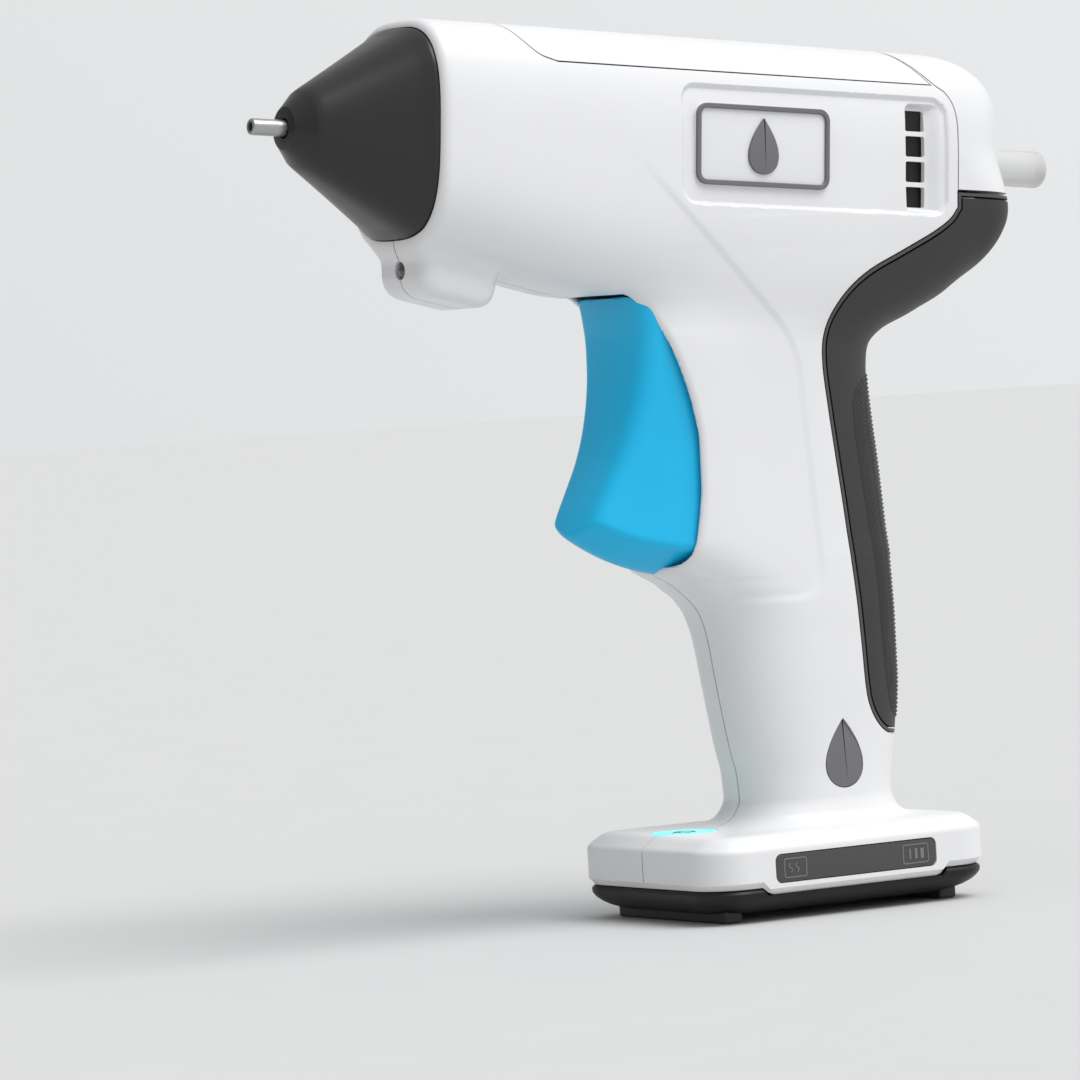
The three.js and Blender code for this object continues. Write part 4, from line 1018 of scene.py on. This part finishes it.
# Power button and its ring.
button = turned("power_button_cap", [(1.6, 12.4), (1.6, 13.4), (BUTTON_RADIUS, 13.4),
                                     (BUTTON_RADIUS, 16.25),
                                     (4.8, 16.38), (4.6, 16.42), (0.2, 16.42)], BUTTON_X, 0, 0)
shade_smooth(button)
dress(button, "power_button", "teal_light", "power_button")
rings = []
for i in range(33):
    angle = math.radians(110 + 320 * i / 32 + 90)
    rings.append([(BUTTON_X + r * math.cos(angle), r * math.sin(angle), z)
                  for r, z in ((1.6, 16.3), (2.2, 16.3), (2.2, 16.5), (1.6, 16.5))])
power_arc = loft("power_symbol_arc", rings)
power_bar = loft("power_symbol_bar", [
    [(BUTTON_X + x, y, z) for x, y in rounded_rectangle(-2.9, -0.9, -0.3, 0.3, 0.25)]
    for z in (16.3, 16.5)])
for symbol in (power_arc, power_bar):
    dress(symbol, "power_button", "grey_trim")
rings = []
for i in range(72):
    angle = 2 * math.pi * i / 72
    rings.append([(BUTTON_X + r * math.cos(angle), r * math.sin(angle), z)
                  for r, z in ((5.05, 13.6), (RING_RADIUS, 13.6), (RING_RADIUS, 16.3),
                               (RING_RADIUS - 0.15, 16.44), (5.2, 16.44), (5.05, 16.3))])
halo = loft("button_ring_lit", rings, closed_path=True)
shade_smooth(halo)
dress(halo, "housing", "grey_trim", "button_ring", finish=FINISHES["teal_light"])


# ---------------------------------------------------------------- barrel details
def side_face(x, z, side):
    """Distance from the middle of the gun to the recessed side, at a point of the side view."""
    y = np.full(1, 17.0)
    for _ in range(6):
        value = outer_field(np.full(1, x), side * y, np.full(1, z))
        y = y - value
    return float(y[0])


badge_outline = rounded_rectangle(*BADGE, 2.3)
for label, side in (("left", -1), ("right", 1)):
    face = side_face(*from_barrel(12, 0), side)
    tilted = row_outline(badge_outline)
    base = plate(f"badge_{label}_plate", tilted, side * (face - 0.8), side * (face + 0.35), 0.3)
    shade_smooth(base)
    dress(base, "housing", "white_shell", f"badge_{label}")
    rim = loft(f"badge_{label}_rim", [
        [(x, side * (face + out), z) for x, z in row_outline(spread(badge_outline, -inset))]
        for out, inset in ((0.1, 0.05), (0.75, 0.05), (0.9, 0.2), (0.9, 0.85), (0.75, 1.0),
                           (0.1, 1.0))], closed_path=True)
    shade_smooth(rim)
    dress(rim, "housing", "grey_trim")
    emblem = [(12.2 + a, b) for a, b in drop_outline(3.4)]
    drop = plate(f"badge_{label}_drop", row_outline(emblem), side * (face + 0.1),
                 side * (face + 0.9), 0.2)
    shade_smooth(drop)
    dress(drop, "housing", "grey_trim")
    inlay = plate(f"handle_inlay_{label}_drop", inlay_shape, side * (SIDE_AT_INLAY - 1),
                  side * (SIDE_AT_INLAY + 0.12), 0.2)
    shade_smooth(inlay)
    dress(inlay, "housing", "grey_trim", f"handle_inlay_{label}")

cone_rows = [(-55, 18.3, 14.5, 3.1), (-57.6, 18.3, 14.5, 3.1), (-57.7, 19.55, 15.75, 3.1),
             (-59.2, 19.5, 15.7, 3.1), (-59.6, 19.3, 15.5, 3.1)]
for i in range(1, 16):
    t = i / 16
    cone_rows.append((-59.6 - 19.4 * t, 19.1 - 11.7 * t, 15.35 - 8.15 * t, 3.1 - 0.9 * t))
cone_rows += [(-79.05, 7.32, 7.15, 2.18), (-79.4, 6.95, 6.8, 2.14), (-82.1, 4.2, 4.15, 2.02),
              (-82.32, 4.02, 3.98, 2), (-82.4, 3.8, 3.8, 2)]
cone = along_axis("nose_cone_skin", cone_rows, sides=128)
cut(cone, rod("cutter", [(-84, 1.9), (-70, 1.9)]))
shade_smooth(cone, 25)
dress(cone, "housing", "black_cone", "nose_cone")

tip = rod("nozzle_tube", [(-76, 1.55), (-88.9, 1.55), (-89.2, 1.5), (-89.4, 1.3), (-89.4, 0.85),
                          (-88.8, 0.75), (-80, 0.75)])
shade_smooth(tip, 30)
dress(tip, "housing", "bare_steel", "nozzle")

stick = rod("glue_stick_body", [(-10.75, 3.2), (-10.2, 3.6), (20, 3.6), (50, 3.6), (88.85, 3.6),
                                (89.1, 3.52), (89.25, 3.3)])
shade_smooth(stick, 30)
dress(stick, "glue_stick", "stick_glue", "glue_stick")

lens = turned("work_light_lens", [(0.05, -59.2), (0.8, -59.1), (1.35, -58.7),
                                  (EYE_RADIUS, -58.1), (EYE_RADIUS, -51.5)], 0, 0, EYE_Z, "X")
shade_smooth(lens)
dress(lens, "housing", "stick_glue", "work_light", finish=LIGHT_LENS)

# ---------------------------------------------------------------- trigger
points, quads = solid_surface(trigger_field, (-33, -13, 63), (1, 13, 121), TRIGGER_GRID)
finger = new_object("trigger_finger", points, quads)
shade_from(finger, trigger_field)
dress(finger, "trigger", "blue_trigger", "trigger")
arm = copy_of(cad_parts["trigger"], "trigger_arm")
weld(arm)
cut(arm, prism("cutter", [(-3, 108), (20, 108), (20, 142), (-3, 142)], -6, 6), "INTERSECT")
shade_smooth(arm)
dress(arm, "trigger", "blue_trigger")

# ---------------------------------------------------------------- ridged pad on the grip
RIDGE_PITCH, RIDGE_HEIGHT, DOT_HEIGHT = 0.8, 0.28, 0.24
HUB = 30                                 # X of the upright line that the pad is wrapped round
PAD_FRONT = np.array([
    (34.2, 43), (35.2, 39.4), (37, 37.9), (40, 36.9), (43.5, 36.3), (52, 35.6), (68, 34.8),
    (73, 34.1), (85.8, 32.6), (91.5, 32), (95, 32), (97.8, 32.9), (99.6, 34.8), (101, 37.6),
    (101.8, 41),
])


def ridged_pad():
    """A pad on the back of the grip: ridges across its back, and rows of dots at its sides."""
    pad_front = curve(PAD_FRONT, 1)
    heights = np.arange(34.4, 101.7, RIDGE_PITCH / 4)
    share = np.concatenate([np.linspace(-1, -0.62, 34), np.linspace(-0.6, 0.6, 33),
                            np.linspace(0.62, 1, 34)])
    z, s = np.meshgrid(heights, share, indexing="ij")

    def reach(angle, level):
        """Distance from the hub line to the housing's skin, at an angle from straight back."""
        r = np.full_like(level, 12.0)
        for _ in range(12):
            x, y = HUB + r * np.cos(angle), r * np.sin(angle)
            r = r - np.clip(solid_field(x, y, level), -3, 3)
        return r

    # The widest angle at each height is where the skin passes the pad's front edge.
    low, high = np.full(len(heights), 0.05), np.full(len(heights), 2.2)
    for _ in range(18):
        middle = (low + high) / 2
        x = HUB + reach(middle, heights) * np.cos(middle)
        behind = x > pad_front(heights)
        low, high = np.where(behind, middle, low), np.where(behind, high, middle)
    angle = s * low[:, None]
    r = reach(angle.ravel(), z.ravel()).reshape(z.shape)
    edge = smooth_step(0, 0.04, 1 - np.abs(s)) * smooth_step(34.4, 35, z) * smooth_step(
        101.6, 101, z)
    phase = z / RIDGE_PITCH
    ridges = (0.5 + 0.5 * np.cos(2 * math.pi * phase)) ** 0.7 * smooth_step(0.74, 0.68, np.abs(s))
    row = (1 - np.abs(s)) * low[:, None] * r / RIDGE_PITCH - 0.9
    dot_zone = smooth_step(0.0, 0.1, row) * smooth_step(0.7, 0.78, np.abs(s))
    dots = (np.maximum(np.cos(2 * math.pi * (phase + 0.5 * np.floor(row))), 0)
            * np.maximum(-np.cos(2 * math.pi * row), 0) * dot_zone)
    proud = 0.06 + RIDGE_HEIGHT * ridges + DOT_HEIGHT * dots
    outside = r - 0.3 + (0.3 + proud) * edge
    skins = []
    for radius in (outside, r - 0.9):
        skins.append(np.stack([HUB + radius * np.cos(angle), radius * np.sin(angle), z], -1))
    rows, columns = z.shape
    number = np.arange(rows * columns).reshape(rows, columns)
    face = np.stack([number[:-1, :-1], number[:-1, 1:], number[1:, 1:], number[1:, :-1]],
                    -1).reshape(-1, 4)
    back = (face + rows * columns)[:, ::-1]
    rim = np.concatenate([number[0, :], number[1:, -1], number[-1, -2::-1], number[-2:0:-1, 0]])
    rim_inner = rim + rows * columns
    wall = np.stack([rim, rim_inner, np.roll(rim_inner, -1), np.roll(rim, -1)], 1)
    every = np.concatenate([face, back, wall])
    obj = new_object("rear_grip_ridges", np.concatenate([k.reshape(-1, 3) for k in skins]), every)
    face_outwards(obj)
    return obj


ridges = ridged_pad()
# The ridged pad is coloured darker than the grip, as painted shade; its ridges and dots are
# modelled.
shade_smooth(ridges, 60)
dress(ridges, "housing", "grip_rubber", finish=PAD_SHADE_RUBBER)

# ---------------------------------------------------------------- floor, light and camera
floor = new_object("floor", [(-9000, -9000, 0), (9000, -9000, 0), (9000, 9000, 0),
                             (-9000, 9000, 0)], [(0, 1, 2, 3)])
floor.data.materials.append(node_material("floor_paper", grey(0.59), grey(0.61), 0.85))


def lit_towards(tree, direction, dark, bright, low, high):
    """A light level that rises smoothly towards a direction."""
    sky = tree.nodes.new("ShaderNodeTexCoord")
    facing = tree.nodes.new("ShaderNodeVectorMath")
    facing.operation = "DOT_PRODUCT"
    facing.inputs[1].default_value = Vector(direction).normalized()
    level = tree.nodes.new("ShaderNodeMapRange")
    level.interpolation_type = "SMOOTHSTEP"
    level.inputs["From Min"].default_value = low
    level.inputs["From Max"].default_value = high
    level.inputs["To Min"].default_value = dark
    level.inputs["To Max"].default_value = bright
    tree.links.new(sky.outputs["Generated"], facing.inputs[0])
    tree.links.new(facing.outputs["Value"], level.inputs["Value"])
    return level.outputs["Result"]


world = bpy.data.worlds.new("studio")
bpy.context.scene.world = world
world.use_nodes = True
tree = world.node_tree
room = lit_towards(tree, (0.45, -0.55, 0.7), 0.3, 0.85, -0.5, 0.9)
backdrop = lit_towards(tree, (0.54, 0.84, 0), 0, 0.43, 0.86, 0.97)
both = tree.nodes.new("ShaderNodeMath")
both.operation = "ADD"
tree.links.new(room, both.inputs[0])
tree.links.new(backdrop, both.inputs[1])
tree.links.new(both.outputs["Value"], tree.nodes["Background"].inputs["Strength"])
tree.nodes["Background"].inputs["Color"].default_value = (0.98, 0.99, 1, 1)

sun = bpy.data.lights.new("soft_sun", "SUN")
sun.energy, sun.angle = 2.0, math.radians(40)
overhead = bpy.data.objects.new("soft_sun", sun)
bpy.context.scene.collection.objects.link(overhead)
overhead.rotation_euler = Vector((0.25, -0.42, 0.87)).to_track_quat("Z", "Y").to_euler()

camera_data = bpy.data.cameras.new("camera")
camera = bpy.data.objects.new("camera", camera_data)
bpy.context.scene.collection.objects.link(camera)
camera_data.lens, camera_data.sensor_width = 208, 36
camera_data.clip_start, camera_data.clip_end = 0.05, 50
azimuth, elevation, roll = math.radians(-32.58), math.radians(1.63), math.radians(-3.42)
back = Vector((math.sin(azimuth) * math.cos(elevation), -math.cos(azimuth) * math.cos(elevation),
               math.sin(elevation)))
level = Vector((math.cos(azimuth), math.sin(azimuth), 0))
rise = back.cross(level)
across_view = math.cos(roll) * level + math.sin(roll) * rise
up_view = -math.sin(roll) * level + math.cos(roll) * rise
place = Vector((-0.03205, 0, 0.073846)) + back * 1.167
camera.matrix_world = Matrix((
    (across_view.x, up_view.x, back.x, place.x), (across_view.y, up_view.y, back.y, place.y),
    (across_view.z, up_view.z, back.z, place.z), (0, 0, 0, 1)))
bpy.context.scene.camera = camera
bpy.context.scene.view_settings.view_transform = "Standard"
